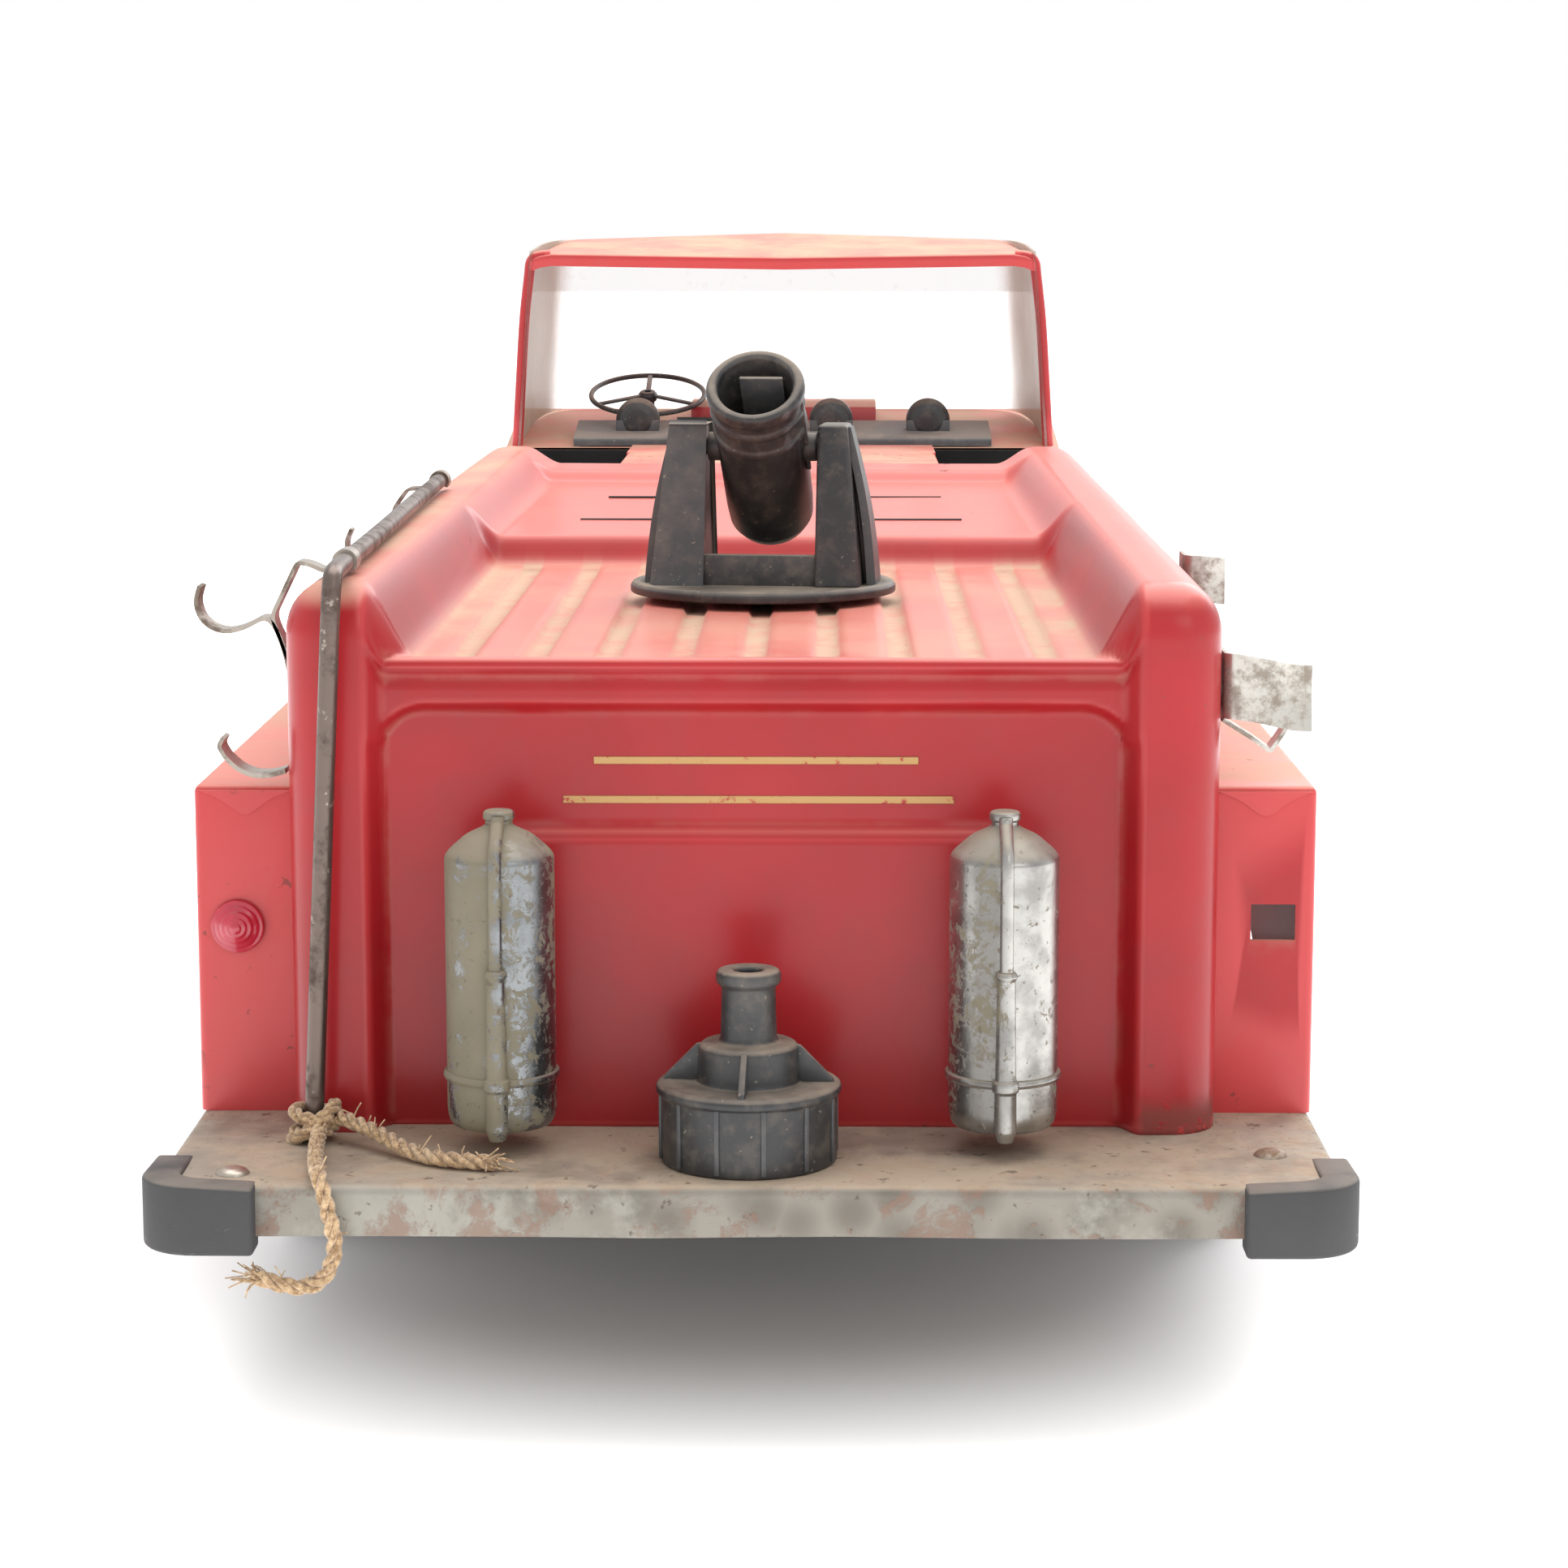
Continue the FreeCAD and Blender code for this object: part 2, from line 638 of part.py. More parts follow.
def nose(deck, top, tube):
    name(cut(tube, deck, top, made["gauge_panel"]), "steering_column")
    y = S.cab_front
    slots = [box(-36, 36, along(y + 1), along(y + 4), above(r), above(r + 3)) for r in range(22, 70, 7)]
    name(cut(box(-40, 40, along(y), along(y + 3), above(14), above(78)), *slots), "grille")
    rims, lenses = [], []
    for side in (LEFT, RIGHT):
        rims.append(cut(cylinder(side * 62, along(y), above(46), 13, 4, ALONG_Y),
                        cylinder(side * 62, along(y + 1), above(46), 10.5, 5, ALONG_Y)))
        lenses.append(cylinder(side * 62, along(y + 1), above(46), 10.4, 4, ALONG_Y))
    name(fuse(*rims), "headlight_rims")
    name(fuse(*lenses), "headlight_lenses")
    half = S.fender_half - 4
    bar = box(-half, half, along(y), along(S.overall_length), above(-12), above(4))
    soft = rounded(bar, 5, lambda e: runs(e, 2) and middle(e).y > along(S.overall_length - 1).value)
    hollow = box(-half + 1.2, half - 1.2, along(y - 1), along(S.overall_length - 1.2), above(-10.8),
                 above(2.8))
    name(cut(soft, hollow), "front_bumper")


# ---------------------------------------------------------------- water cannon
def turret_placed(thing, rise=0, tilt=None):
    """Puts a piece modelled about the turret's own axis at the turret's yaw at rest."""
    turn = Rotation(Vector(0, 0, 1), DRIVING["cannon_yaw"])
    if tilt:
        turn = turn.multiply(tilt)
    return place(thing, 0, along(S.cannon_along), above(rise), turn)


def cannon():
    r, base = S.cannon_base_radius, S.floor_rise + 1.2
    disc = cylinder(0, 0, base, r, 2.2)
    posts = []
    for side in (LEFT, RIGHT):
        def corner(x, y, z):
            return Vector(side * x, y, z)
        low, high = base.value + 2.2, S.trunnion_rise.value + 5
        foot = [(13, -12), (27.5, -7), (27.5, 7), (13, 12)]
        head = [(13, -5.5), (19.5, -4), (19.5, 4), (13, 5.5)]
        wires = [Part.makePolygon([corner(x, y, z) for x, y in pts + pts[:1]])
                 for pts, z in ((foot, low), (head, high))]
        posts.append(feature(Part.makeLoft(wires, True, True)))
    web = box(-13.5, 13.5, -11.6, -9.8, base + 2.2, base + 9.2)
    web_front = box(-13.5, 13.5, 9.8, 11.6, base + 2.2, base + 6.7)
    bores = cylinder(-22, 0, S.trunnion_rise, 1.8 + S.running_gap, 44, ALONG_X)
    stem = cylinder(0, 0, S.floor_rise - 1.3, 4, 3)
    yoke = cut(fuse(disc, *posts, web, web_front, stem), bores)
    name(turret_placed(yoke), "cannon_yoke")
    nut = turned("swivel_nut", [(2.5, 0), (8, 0), (8, 1), (5.5, 2.4), (2.5, 2.4)])
    washer_rise = S.floor_rise - S.steel - 2.7
    screw = fuse(nut, cylinder(0, 0, -0.6, 2.5, 3.0))
    name(turret_placed(screw, washer_rise), "swivel_nut")

    tilt = Rotation(Vector(1, 0, 0), DRIVING["cannon_elevation"])
    rb, bore, lip = S.barrel_radius, S.barrel_bore, S.muzzle_radius
    tube = turned(
        "barrel_tube",
        [(0, 0), (rb - 3, 0), (rb - 0.6, 3), (rb - 0.2, 8), (rb, 33), (rb + 0.6, 33.5), (rb + 0.6, 34.5),
         (rb, 35), (rb, 38.5), (rb + 0.6, 39), (rb + 0.6, 40), (rb, 40.5), (lip, 43.5), (lip, 46),
         (bore, 46), (bore, 10), (0, 10)],
    )
    pivot = 26
    place(tube, 0, 0, -pivot)
    pin_hole = cylinder(-14, 0, 0, 1.8, 28, ALONG_X)
    ear = box(-12.2, -9.6, -3, 3, -3, 3)
    ear_right = box(9.6, 12.2, -3, 3, -3, 3)
    barrel = cut(fuse(tube, ear, ear_right), pin_hole)
    aim = Rotation(Vector(1, 0, 0), 90 - DRIVING["cannon_elevation"])
    name(turret_placed(barrel, S.trunnion_rise, aim), "cannon_barrel")
    pins = fuse(cylinder(-19, 0, 0, 1.8, 10.4, ALONG_X), cylinder(8.6, 0, 0, 1.8, 10.4, ALONG_X))
    name(turret_placed(pins, S.trunnion_rise, aim), "trunnion_pins")
    tab = common(box(-3, 7.5, -6.2, -5, -pivot + 10, 12.5), cylinder(0, 0, -pivot, bore, 60))
    name(turret_placed(tab, S.trunnion_rise, aim), "nozzle_tab")


# ---------------------------------------------------------------- rear fittings
def bottles():
    r, foot, tall = S.bottle_radius, S.bottle_foot, S.bottle_height
    neck, hose_radius, nozzle_radius = 2.6, 0.9, 1.6
    bands, hoses = [], []
    for side, label in ((LEFT, "left"), (RIGHT, "right")):
        x = side * S.bottle_offset
        bottle = turned(f"bottle_{label}", [(0, 0), (r - 2, 0), (r, 3), (r, tall - 9), (r - 1, tall - 7),
                                             (neck, tall - 2.5), (neck, tall), (0, tall)])
        place(bottle, x, along(S.bottle_along), above(foot))
        name(bottle, f"extinguisher_{label}")
        strap = cut(cylinder(x, along(S.bottle_along), above(foot + 9), r + 0.6, 2), bottle)
        behind = box(x - 12, x + 12, along(S.body_rear), along(60), above(0), above(30))
        bands.append(cut(strap, behind))
        front = along(S.bottle_along) - r - 1.3
        hose = fuse(
            cylinder(x, front, above(foot + 32), hose_radius, 22),
            cylinder(x, front, above(foot + 30.5), 2.0, 1.6),
            cylinder(x, front, above(foot - 1.2), nozzle_radius, 32.5),
        )
        hoses.append(cut(hose, bottle, strap))
    name(fuse(*bands), "extinguisher_bands")
    name(fuse(*hoses), "extinguisher_hoses")


def adapter():
    x, y = -0.5, along(S.adapter_along)
    rim, cap, tall = S.cap_radius + 0.7, S.cap_radius, S.cap_height
    nipple, bore, shoulder = S.nipple_radius, S.nipple_bore, 9.65
    body = turned(
        "adapter_body",
        [(cap - 2, 0), (cap, 0), (cap, tall - 2.2), (rim, tall - 1.6), (rim, tall - 0.4), (cap, tall),
         (shoulder, tall), (shoulder, tall + 7.5), (nipple, tall + 7.5), (nipple, tall + 18.8),
         (nipple + 0.75, tall + 19.4), (nipple + 0.75, tall + 21.5), (bore, tall + 21.5), (bore, tall - 2.7),
         (cap - 2, tall - 2.7)],
    )
    fins = []
    for angle in (0, 90, 180, 270):
        fin = feature(
            Part.Face(Part.makePolygon([Vector(9, -0.6, 15), Vector(15.6, -0.6, 15), Vector(9, -0.6, 22.2),
                                        Vector(9, -0.6, 15)])).extrude(Vector(0, 1.2, 0)))
        fin.Placement = Placement(Vector(), Rotation(Vector(0, 0, 1), angle))
        fins.append(fin)
    whole = fuse(body, *fins)
    name(place(whole, x, y, above(0.05)), "hose_adapter")
    peg = turned("adapter_peg", [(0, 0), (6, 0), (6, 1), (2.0, 1), (2.0, 11), (0, 12)])
    name(place(peg, x, y, above(0)), "adapter_peg")


def bent_path(points, largest=math.inf):
    """Straight runs between points joined by tangent arcs, and the arcs' radii."""
    edges, last, radii = [], points[0], []
    for before, corner, after in zip(points, points[1:], points[2:]):
        back, ahead = before - corner, after - corner
        turn = math.pi - back.getAngle(ahead)
        trim = min(0.45 * min(back.Length, ahead.Length), largest * math.tan(turn / 2))
        radius = trim / math.tan(turn / 2)
        radii.append(round(radius, 1))
        back.normalize()
        ahead.normalize()
        first, second = corner + back * trim, corner + ahead * trim
        bisector = (back + ahead).normalize()
        inner = corner + bisector * (radius / math.cos(turn / 2) - radius)
        edges.append(Part.LineSegment(last, first).toShape())
        edges.append(Part.Arc(first, inner, second).toShape())
        last = second
    edges.append(Part.LineSegment(last, points[-1]).toShape())
    return Part.Wire(edges), radii


def spot(x, distance, rise):
    return Vector(x, along(distance).value, above(rise).value)


def swept(path, radius, start, direction):
    circle = Part.Wire([Part.makeCircle(radius, start, direction)])
    return path.makePipeShell([circle], True, True)


def strip(path, start, heading, width, thickness):
    """Flat steel of a given width along the engine, bent across it to follow path."""
    side = heading.cross(Vector(0, 1, 0)).normalize() * (thickness / 2)
    edge = Vector(0, width / 2, 0)
    corners = [start + side + edge, start + side - edge, start - side - edge, start - side + edge]
    return path.makePipeShell([Part.makePolygon(corners + corners[:1])], True, True)


def hook_strip(centre, radius, start_angle, end_angle, reach, distance, width):
    """A strip bent to an arc across the engine, then straight on to the X plane at reach.

    Angles run from +X towards +Z, and centre is (x, rise).
    """
    middle_point = spot(centre[0], distance, centre[1])

    def at(angle):
        turn = math.radians(angle)
        return middle_point + Vector(radius * math.cos(turn), 0, radius * math.sin(turn))

    def heading(angle):
        turn = math.radians(angle)
        return Vector(-math.sin(turn), 0, math.cos(turn))

    arc = Part.Arc(at(start_angle), at((start_angle + end_angle) / 2), at(end_angle)).toShape()
    away = heading(end_angle)
    end = at(end_angle) + away * ((reach - at(end_angle).x) / away.x)
    path = Part.Wire([arc, Part.LineSegment(at(end_angle), end).toShape()])
    return feature(strip(path, at(start_angle), heading(start_angle), width, 0.9))


def rail():
    """The grab rail, the two clips that hold it on the left rail, and the hooks for the hose."""
    foot = spot(-S.rod_foot.value, S.rod_along, 0.12)
    shoulder = spot(-S.rod_shoulder.value, S.rod_along, S.rod_rise)
    tip = spot(-S.rod_tip.value, S.rod_front, S.rod_rise)
    path, _ = bent_path([foot, shoulder, tip], 6.0)
    rod = feature(swept(path, S.rod_radius.value, foot, shoulder - foot))
    name(rod, "grab_rail")
    half = S.body_half.value
    leg_out, leg_in = -half - 1, -half
    clips = []
    for distance in (60, 272):
        share = (distance + 3 - S.rod_along.value) / (S.rod_front.value - S.rod_along.value)
        rod_x = -S.rod_shoulder.value + share * (S.rod_shoulder.value - S.rod_tip.value)
        y0, y1 = along(distance), along(distance + 6)
        clip_ring = cut(
            cylinder(rod_x, y0, above(S.rod_rise), S.rod_radius + 1.1, 6, ALONG_Y),
            cylinder(rod_x, along(distance - 1), above(S.rod_rise), S.rod_radius + 0.3, 8, ALONG_Y),
        )
        leg = box(leg_out, leg_in, y0, y1, above(86), above(S.rod_rise))
        arm = box(leg_out, rod_x - 1.8, y0, y1, above(S.rod_rise - 1), above(S.rod_rise))
        clips.append(cut(fuse(clip_ring, leg, arm), rod, made["hose_bed_body"]))
    name(fuse(*clips), "rail_clips")
    upper = hook_strip((-103.2, 103), 6.9, -200, -60, leg_out, 63, 6)
    name(cut(upper, made["rail_clips"]), "hose_hook_upper")
    lower = hook_strip((-97.8, 75.6), 7.0, -180, -70, leg_in, 56, 7)
    name(cut(lower, made["hose_bed_body"]), "hose_hook_lower")
    front = hook_strip((-102, 94.5), 6.5, -200, -60, leg_out, 275, 6)
    name(cut(front, made["rail_clips"]), "hose_hook_front")


def right_brackets():
    half = S.body_half
    plate = box(half, half + 18, along(52), along(52.9), above(79.5), above(92.5))
    tab = box(half + 10, half + 15, along(52), along(60), above(78.6), above(79.5))
    foot = box(half, half + 0.9, along(52), along(64), above(79.5), above(92.5))
    name(fuse(plate, tab, foot), "side_bracket_lower")
    plate = box(half, half + 10, along(135), along(135.9), above(94), above(104.5))
    foot = box(half, half + 0.9, along(135), along(146), above(82), above(94))
    tie = box(half, half + 0.9, along(135), along(135.9), above(82), above(104.5))
    name(fuse(plate, foot, tie), "side_bracket_upper")


# ---------------------------------------------------------------- twine
OVER_EDGE = [(-83.4, 33.0, 3.2), (-82.6, 21, 1.9), (-80.8, 9, 1.9), (-79.4, 2.2, 2.6), (-77.4, 0.6, -4.5),
             (-76.0, 0.9, -11.5), (-79.0, 0.9, -18.0), (-85.2, 0.6, -18.6), (-90.8, 1.6, -16.8)]
ON_STEP = [(-79.8, 36.0, 5.0), (-72.8, 30.0, 4.2), (-64.6, 21.0, 1.9), (-56.5, 15.8, 1.75),
           (-48.0, 14.4, 1.75)]


def laid(route):
    """A tube of twine's radius along a route of points (x, distance along, rise)."""
    points = [spot(*point) for point in route]
    path, radii = bent_path(points)
    tube = swept(path, S.twine_radius.value, points[0], points[1] - points[0])
    expected = math.pi * S.twine_radius.value ** 2 * path.Length
    print(f"twine {path.Length:.1f} long, volume ratio {tube.Volume / expected:.4f}, radii {radii}")
    return tube


def twine():
    name(feature(laid(OVER_EDGE)), "twine_tail_hanging")
    name(feature(laid(ON_STEP)), "twine_tail_lying")
    x, y = -S.rod_foot, along(S.rod_along)
    inner = S.rod_radius + 0.55
    wrap = cut(cylinder(x, y, above(1.2), inner + 2.4, 5.6), cylinder(x, y, above(1), inner, 8))
    name(cut(wrap, made["twine_tail_hanging"], made["twine_tail_lying"], made["hose_bed_body"]), "twine_knot")


# ---------------------------------------------------------------- the whole engine
def build():
    chassis()
    step()
    wheels("rear", S.rear_axle)
    wheels("front", S.front_axle)
    brackets()
    hose_bed()
    fenders()
    cab()
    deck, top = dash()
    windshield(deck, top)
    tube = steering()
    nose(deck, top, tube)
    cannon()
    bottles()
    adapter()
    rail()
    right_brackets()
    twine()


def faults():
    """Every object that failed to compute and every sub-part without one good shape."""
    wrong = [f"{o.Name} {o.State}" for o in doc.Objects if {"Invalid", "Error"} & set(o.State)]
    for label, thing in made.items():
        shape = thing.Shape
        if shape.isNull() or not shape.isValid() or not shape.Solids:
            wrong.append(f"{label}: no valid solid")
    return wrong


build()
doc.recompute()
found = faults()
if found:
    raise SystemExit("part.py stopped: " + "; ".join(found))
os.makedirs("parts", exist_ok=True)
for old in os.listdir("parts"):
    os.remove(os.path.join("parts", old))
for label, thing in made.items():
    thing.Shape.exportStep(f"parts/{label}.step")
print(f"{len(made)} sub-parts written")
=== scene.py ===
import json
import math
import random

import bmesh
import bpy
from mathutils import Matrix, Vector, noise

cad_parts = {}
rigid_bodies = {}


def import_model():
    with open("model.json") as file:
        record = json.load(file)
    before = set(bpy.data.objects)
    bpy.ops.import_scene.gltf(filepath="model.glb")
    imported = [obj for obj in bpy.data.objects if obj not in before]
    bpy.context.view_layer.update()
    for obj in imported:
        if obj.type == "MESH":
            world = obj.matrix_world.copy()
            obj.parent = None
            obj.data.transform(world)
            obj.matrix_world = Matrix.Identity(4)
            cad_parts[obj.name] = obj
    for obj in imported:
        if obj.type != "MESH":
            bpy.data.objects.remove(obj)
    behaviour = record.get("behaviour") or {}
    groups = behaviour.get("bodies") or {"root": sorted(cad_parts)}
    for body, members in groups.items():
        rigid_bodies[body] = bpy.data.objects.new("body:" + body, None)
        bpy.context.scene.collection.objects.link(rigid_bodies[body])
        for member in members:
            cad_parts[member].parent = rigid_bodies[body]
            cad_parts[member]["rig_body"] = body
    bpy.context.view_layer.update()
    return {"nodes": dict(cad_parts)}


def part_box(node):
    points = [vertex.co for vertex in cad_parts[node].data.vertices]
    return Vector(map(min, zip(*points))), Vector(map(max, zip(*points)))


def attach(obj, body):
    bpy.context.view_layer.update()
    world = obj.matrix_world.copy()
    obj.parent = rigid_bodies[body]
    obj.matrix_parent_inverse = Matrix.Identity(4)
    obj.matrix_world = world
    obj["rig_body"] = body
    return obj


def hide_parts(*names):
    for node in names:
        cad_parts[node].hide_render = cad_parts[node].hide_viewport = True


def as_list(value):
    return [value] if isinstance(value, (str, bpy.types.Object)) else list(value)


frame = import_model()
nodes = frame["nodes"]
print("frame loaded:", len(nodes), "nodes")

mm = 0.001
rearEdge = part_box("step_corner_left")[0].y
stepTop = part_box("rear_step")[1].z
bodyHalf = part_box("hose_bed_body")[1].x / mm
sides = ((-1, "left"), (1, "right"))


def spot(x, along, rise):  # millimetres across, forward from the step's rear edge, up from the step's top
    return Vector((x * mm, rearEdge + along * mm, stepTop + rise * mm))


def alongOf(y):
    return (y - rearEdge) / mm


def riseOf(z):
    return (z - stepTop) / mm


def ease(value, low, high):
    t = min(1.0, max(0.0, (value - low) / (high - low)))
    return t * t * (3 - 2 * t)


# camera, floor and light

stageSizes = {"eyeX": 13.5, "eyeBack": 650, "eyeRise": 179, "pitch": 9.0, "yaw": 0.62, "lens": 83.8,
              "floor": 9.0,
              "floorGlowFrom": (0.155, 0.25)}


def makeStage():
    view = bpy.data.cameras.new("camera")
    view.lens, view.sensor_width, view.clip_start = stageSizes["lens"], 36, 0.02
    camera = bpy.data.objects.new("camera", view)
    camera.location = spot(stageSizes["eyeX"], -stageSizes["eyeBack"], stageSizes["eyeRise"])
    camera.rotation_euler = (math.radians(90 - stageSizes["pitch"]), 0, math.radians(stageSizes["yaw"]))
    bpy.context.scene.collection.objects.link(camera)
    bpy.context.scene.camera = camera

    bm = bmesh.new()
    bmesh.ops.create_grid(bm, x_segments=1, y_segments=1, size=stageSizes["floor"])
    mesh = bpy.data.meshes.new("floor")
    bm.to_mesh(mesh)
    bm.free()
    floor = bpy.data.objects.new("floor", mesh)
    bpy.context.scene.collection.objects.link(floor)
    paper = Finish("paper", color=(0.92, 0.92, 0.92), roughness=0.9)
    # the floor glows more the farther it lies from the truck: painted light that washes the far floor out to
    # white and sets where the truck's shadow fades
    away = (paper.coord(0).power(2) + (paper.coord(1) * 0.62).power(2)).power(0.5)
    far = away.between(*stageSizes["floorGlowFrom"])
    glow = paper.mix(far, (0, 0, 0), (1, 1, 1))
    paper.feed(glow=glow)
    paper.shader.inputs["Emission Strength"].default_value = 0.8
    floor.data.materials.append(paper.material)

    world = bpy.data.worlds.new("studio")
    world.use_nodes = True
    world.node_tree.nodes["Background"].inputs["Color"].default_value = (1, 1, 1, 1)
    world.node_tree.nodes["Background"].inputs["Strength"].default_value = 1.0
    bpy.context.scene.world = world
    lamps = {
        "overhead": ((0.1, 0.30, 1.5), (0, 0.05, 0), 1.6, 24),
        "behindTruck": ((0.9, 1.5, 1.1), (0, 0.1, 0.1), 1.2, 14),
        "fromRear": ((0.9, -1.7, 1.2), (0, -0.3, 0.08), 0.8, 3),
    }
    for label, (place, target, size, power) in lamps.items():
        light = bpy.data.lights.new(label, "AREA")
        light.size, light.energy = size, power
        lamp = bpy.data.objects.new(label, light)
        lamp.location = place
        lamp.rotation_euler = (Vector(target) - Vector(place)).to_track_quat("-Z", "Y").to_euler()
        bpy.context.scene.collection.objects.link(lamp)
    bpy.context.scene.view_settings.view_transform = "Standard"


# materials

class Val:  # one socket of a finish, with arithmetic
    def __init__(self, finish, socket):
        self.finish, self.socket = finish, socket

    def math(self, operation, *others, clamp=False):
        inputs = dict(enumerate([self, *others]))
        made = self.finish.node("ShaderNodeMath", {"operation": operation, "use_clamp": clamp}, inputs)
        return Val(self.finish, made.outputs[0])

    def __add__(self, other):
        return self.math("ADD", other)

    def __sub__(self, other):
        return self.math("SUBTRACT", other)

    def __rsub__(self, other):
        return (self * -1) + other

    def __mul__(self, other):
        return self.math("MULTIPLY", other)

    def __truediv__(self, other):
        return self.math("DIVIDE", other)

    __radd__ = __add__
    __rmul__ = __mul__

    def clipped(self):
        return self.math("ADD", 0.0, clamp=True)

    def power(self, exponent):
        return self.math("POWER", exponent)

    def between(self, low, high):
        settings = {"interpolation_type": "SMOOTHSTEP", "clamp": True}
        made = self.finish.node("ShaderNodeMapRange", settings, {"Value": self, "From Min": low,
                                                                 "From Max": high})
        return Val(self.finish, made.outputs["Result"])


socketNames = {
    "color": "Base Color", "roughness": "Roughness", "metallic": "Metallic", "coat": "Coat Weight",
    "coatRoughness": "Coat Roughness", "ior": "IOR", "alpha": "Alpha", "sheen": "Sheen Weight",
    "sheenRoughness": "Sheen Roughness", "transmission": "Transmission Weight",
    "specular": "Specular IOR Level",
    "glow": "Emission Color",
}


class Finish:  # a material and the nodes that feed its shader
    def __init__(self, name, **fixed):
        self.material = bpy.data.materials.new(name)
        self.material.use_nodes = True
        self.tree = self.material.node_tree
        self.shader = self.tree.nodes["Principled BSDF"]
        for key, value in fixed.items():
            self.shader.inputs[socketNames[key]].default_value = (*value, 1) if key == "color" else value
        self.place = None

    def node(self, kind, settings=None, inputs=None):
        made = self.tree.nodes.new(kind)
        for key, value in (settings or {}).items():
            setattr(made, key, value)
        for key, value in (inputs or {}).items():
            socket = made.inputs[key]
            if isinstance(value, Val):
                self.tree.links.new(value.socket, socket)
            else:
                socket.default_value = value
        return made

    def coords(self, stretch=(1, 1, 1)):
        if self.place is None:
            self.place = Val(self, self.node("ShaderNodeTexCoord").outputs["Object"])
        if stretch == (1, 1, 1):
            return self.place
        made = self.node("ShaderNodeMapping", {}, {"Vector": self.place, "Scale": stretch})
        return Val(self, made.outputs[0])

    def noise(self, scale, detail=3.0, rough=0.55, stretch=(1, 1, 1), warp=0.0):
        inputs = {"Vector": self.coords(stretch), "Scale": scale, "Detail": detail, "Roughness": rough,
                  "Distortion": warp}
        return Val(self, self.node("ShaderNodeTexNoise", {}, inputs).outputs["Fac"])

    def cells(self, scale):
        made = self.node("ShaderNodeTexVoronoi", {}, {"Vector": self.coords(), "Scale": scale})
        return Val(self, made.outputs["Distance"])

    def mix(self, factor, first, second):
        first = (*first, 1) if isinstance(first, tuple) else first
        second = (*second, 1) if isinstance(second, tuple) else second
        made = self.node("ShaderNodeMix", {"data_type": "RGBA"}, {0: factor, 6: first, 7: second})
        return Val(self, made.outputs[2])

    def normalPart(self, axis):
        if not hasattr(self, "normal"):
            geometry = self.node("ShaderNodeNewGeometry")
            self.point = Val(self, geometry.outputs["Pointiness"])
            split = self.node("ShaderNodeSeparateXYZ", {}, {0: Val(self, geometry.outputs["Normal"])})
            self.normal = [Val(self, out) for out in split.outputs]
        return self.normal[axis]

    def coord(self, axis):
        if not hasattr(self, "placeParts"):
            split = self.node("ShaderNodeSeparateXYZ", {}, {0: self.coords()})
            self.placeParts = [Val(self, out) for out in split.outputs]
        return self.placeParts[axis]

    def edges(self, low=0.51, high=0.56):
        self.normalPart(2)
        return self.point.between(low, high)

    def hollows(self, low=0.49, high=0.44):
        self.normalPart(2)
        return 1 - self.point.between(high, low)

    def feed(self, **links):
        for key, value in links.items():
            self.tree.links.new(value.socket, self.shader.inputs[socketNames[key]])

    def bump(self, height, strength=0.3, distance=0.0005):
        made = self.node("ShaderNodeBump", {}, {"Height": height, "Strength": strength, "Distance": distance})
        self.tree.links.new(made.outputs[0], self.shader.inputs["Normal"])
        return self


dustColor = (0.50, 0.37, 0.26)


def redPaint(name="redPaint", dusty=1.0, litShare=0.0, chipping=0.735, bed=False):
    f = Finish(name, coatRoughness=0.22, specular=0.22)
    broad, fine, speck = f.noise(14), f.noise(95, 4), f.noise(420, 2)
    red = f.mix(broad.between(0.3, 0.7), (0.31, 0.011, 0.014), (0.40, 0.016, 0.021))
    red = f.mix(fine.between(0.45, 0.75) * 0.35, red, (0.28, 0.010, 0.018))
    # pale pink along the edges is a painted highlight; the share given as the third argument paints the whole
    # surface paler for the lit copy
    red = f.mix((f.edges(0.515, 0.56) * 0.45 + litShare).clipped(), red, (0.74, 0.11, 0.11))
    # upward faces paler pink: painted light from above; the same upward mask also places the settled dust
    # below
    up = f.normalPart(2).between(0.45, 0.97)
    red = f.mix(up * 0.6, red, (0.80, 0.19, 0.155))
    film = 0.03 * fine.between(0.4, 0.8) + 0.25 * f.hollows() * fine.between(0.35, 0.6)
    if bed:
        settled = up * bedDust(f)
    else:
        settled = up * (0.30 + 0.75 * f.noise(38, 5, 0.65).between(0.30, 0.68)) * dusty
    dust = (settled * 0.85 + film * dusty).clipped()
    color = f.mix(dust, red, dustColor)
    chips = (f.noise(150, 5, 0.7) + 0.14 * f.edges(0.52, 0.60)).between(chipping, chipping + 0.015)
    chips = (chips * f.noise(33).between(0.42, 0.5)).clipped()
    if bed:
        chips = (chips + bareCorner(f)).clipped()
    color = f.mix(chips * 0.7, color, (0.17, 0.055, 0.045))
    rough = (0.30 + 0.12 * broad + 0.5 * dust + 0.3 * chips).clipped()
    f.feed(color=color, roughness=rough, coat=(0.30 - 0.30 * dust).clipped())
    return f.bump(0.5 * broad + 0.10 * fine + 0.10 * speck - 0.5 * chips + 0.15 * dust * speck, 0.35, 0.0006)


def bedDust(f):  # dust lies in the floor's grooves, in its corners and on the left rail
    x, y = f.coord(0), f.coord(1) - rearEdge
    pitch = 0.0143
    across = (x / pitch + 0.5).math("FRACT").math("SUBTRACT", 0.5).math("ABSOLUTE")
    inBed = y.between(0.050, 0.054) * (1 - y.between(0.236, 0.243))
    inBed = inBed * (1 - x.math("ABSOLUTE").between(0.066, 0.072))
    groove = (1 - across.between(0.13, 0.20)) * inBed
    cloud, fine = f.noise(30, 5, 0.65), f.noise(110, 5, 0.7)
    corners = inBed * x.math("ABSOLUTE").between(0.050, 0.068) * 0.45
    leftRail = (1 - x.between(-0.080, -0.070)) * 0.62
    spread = 0.08 + 0.30 * inBed + corners + leftRail
    spread = spread * (0.45 + 0.9 * cloud.between(0.3, 0.65))
    return (spread + groove * (0.30 + 0.35 * fine.between(0.35, 0.6))).clipped()


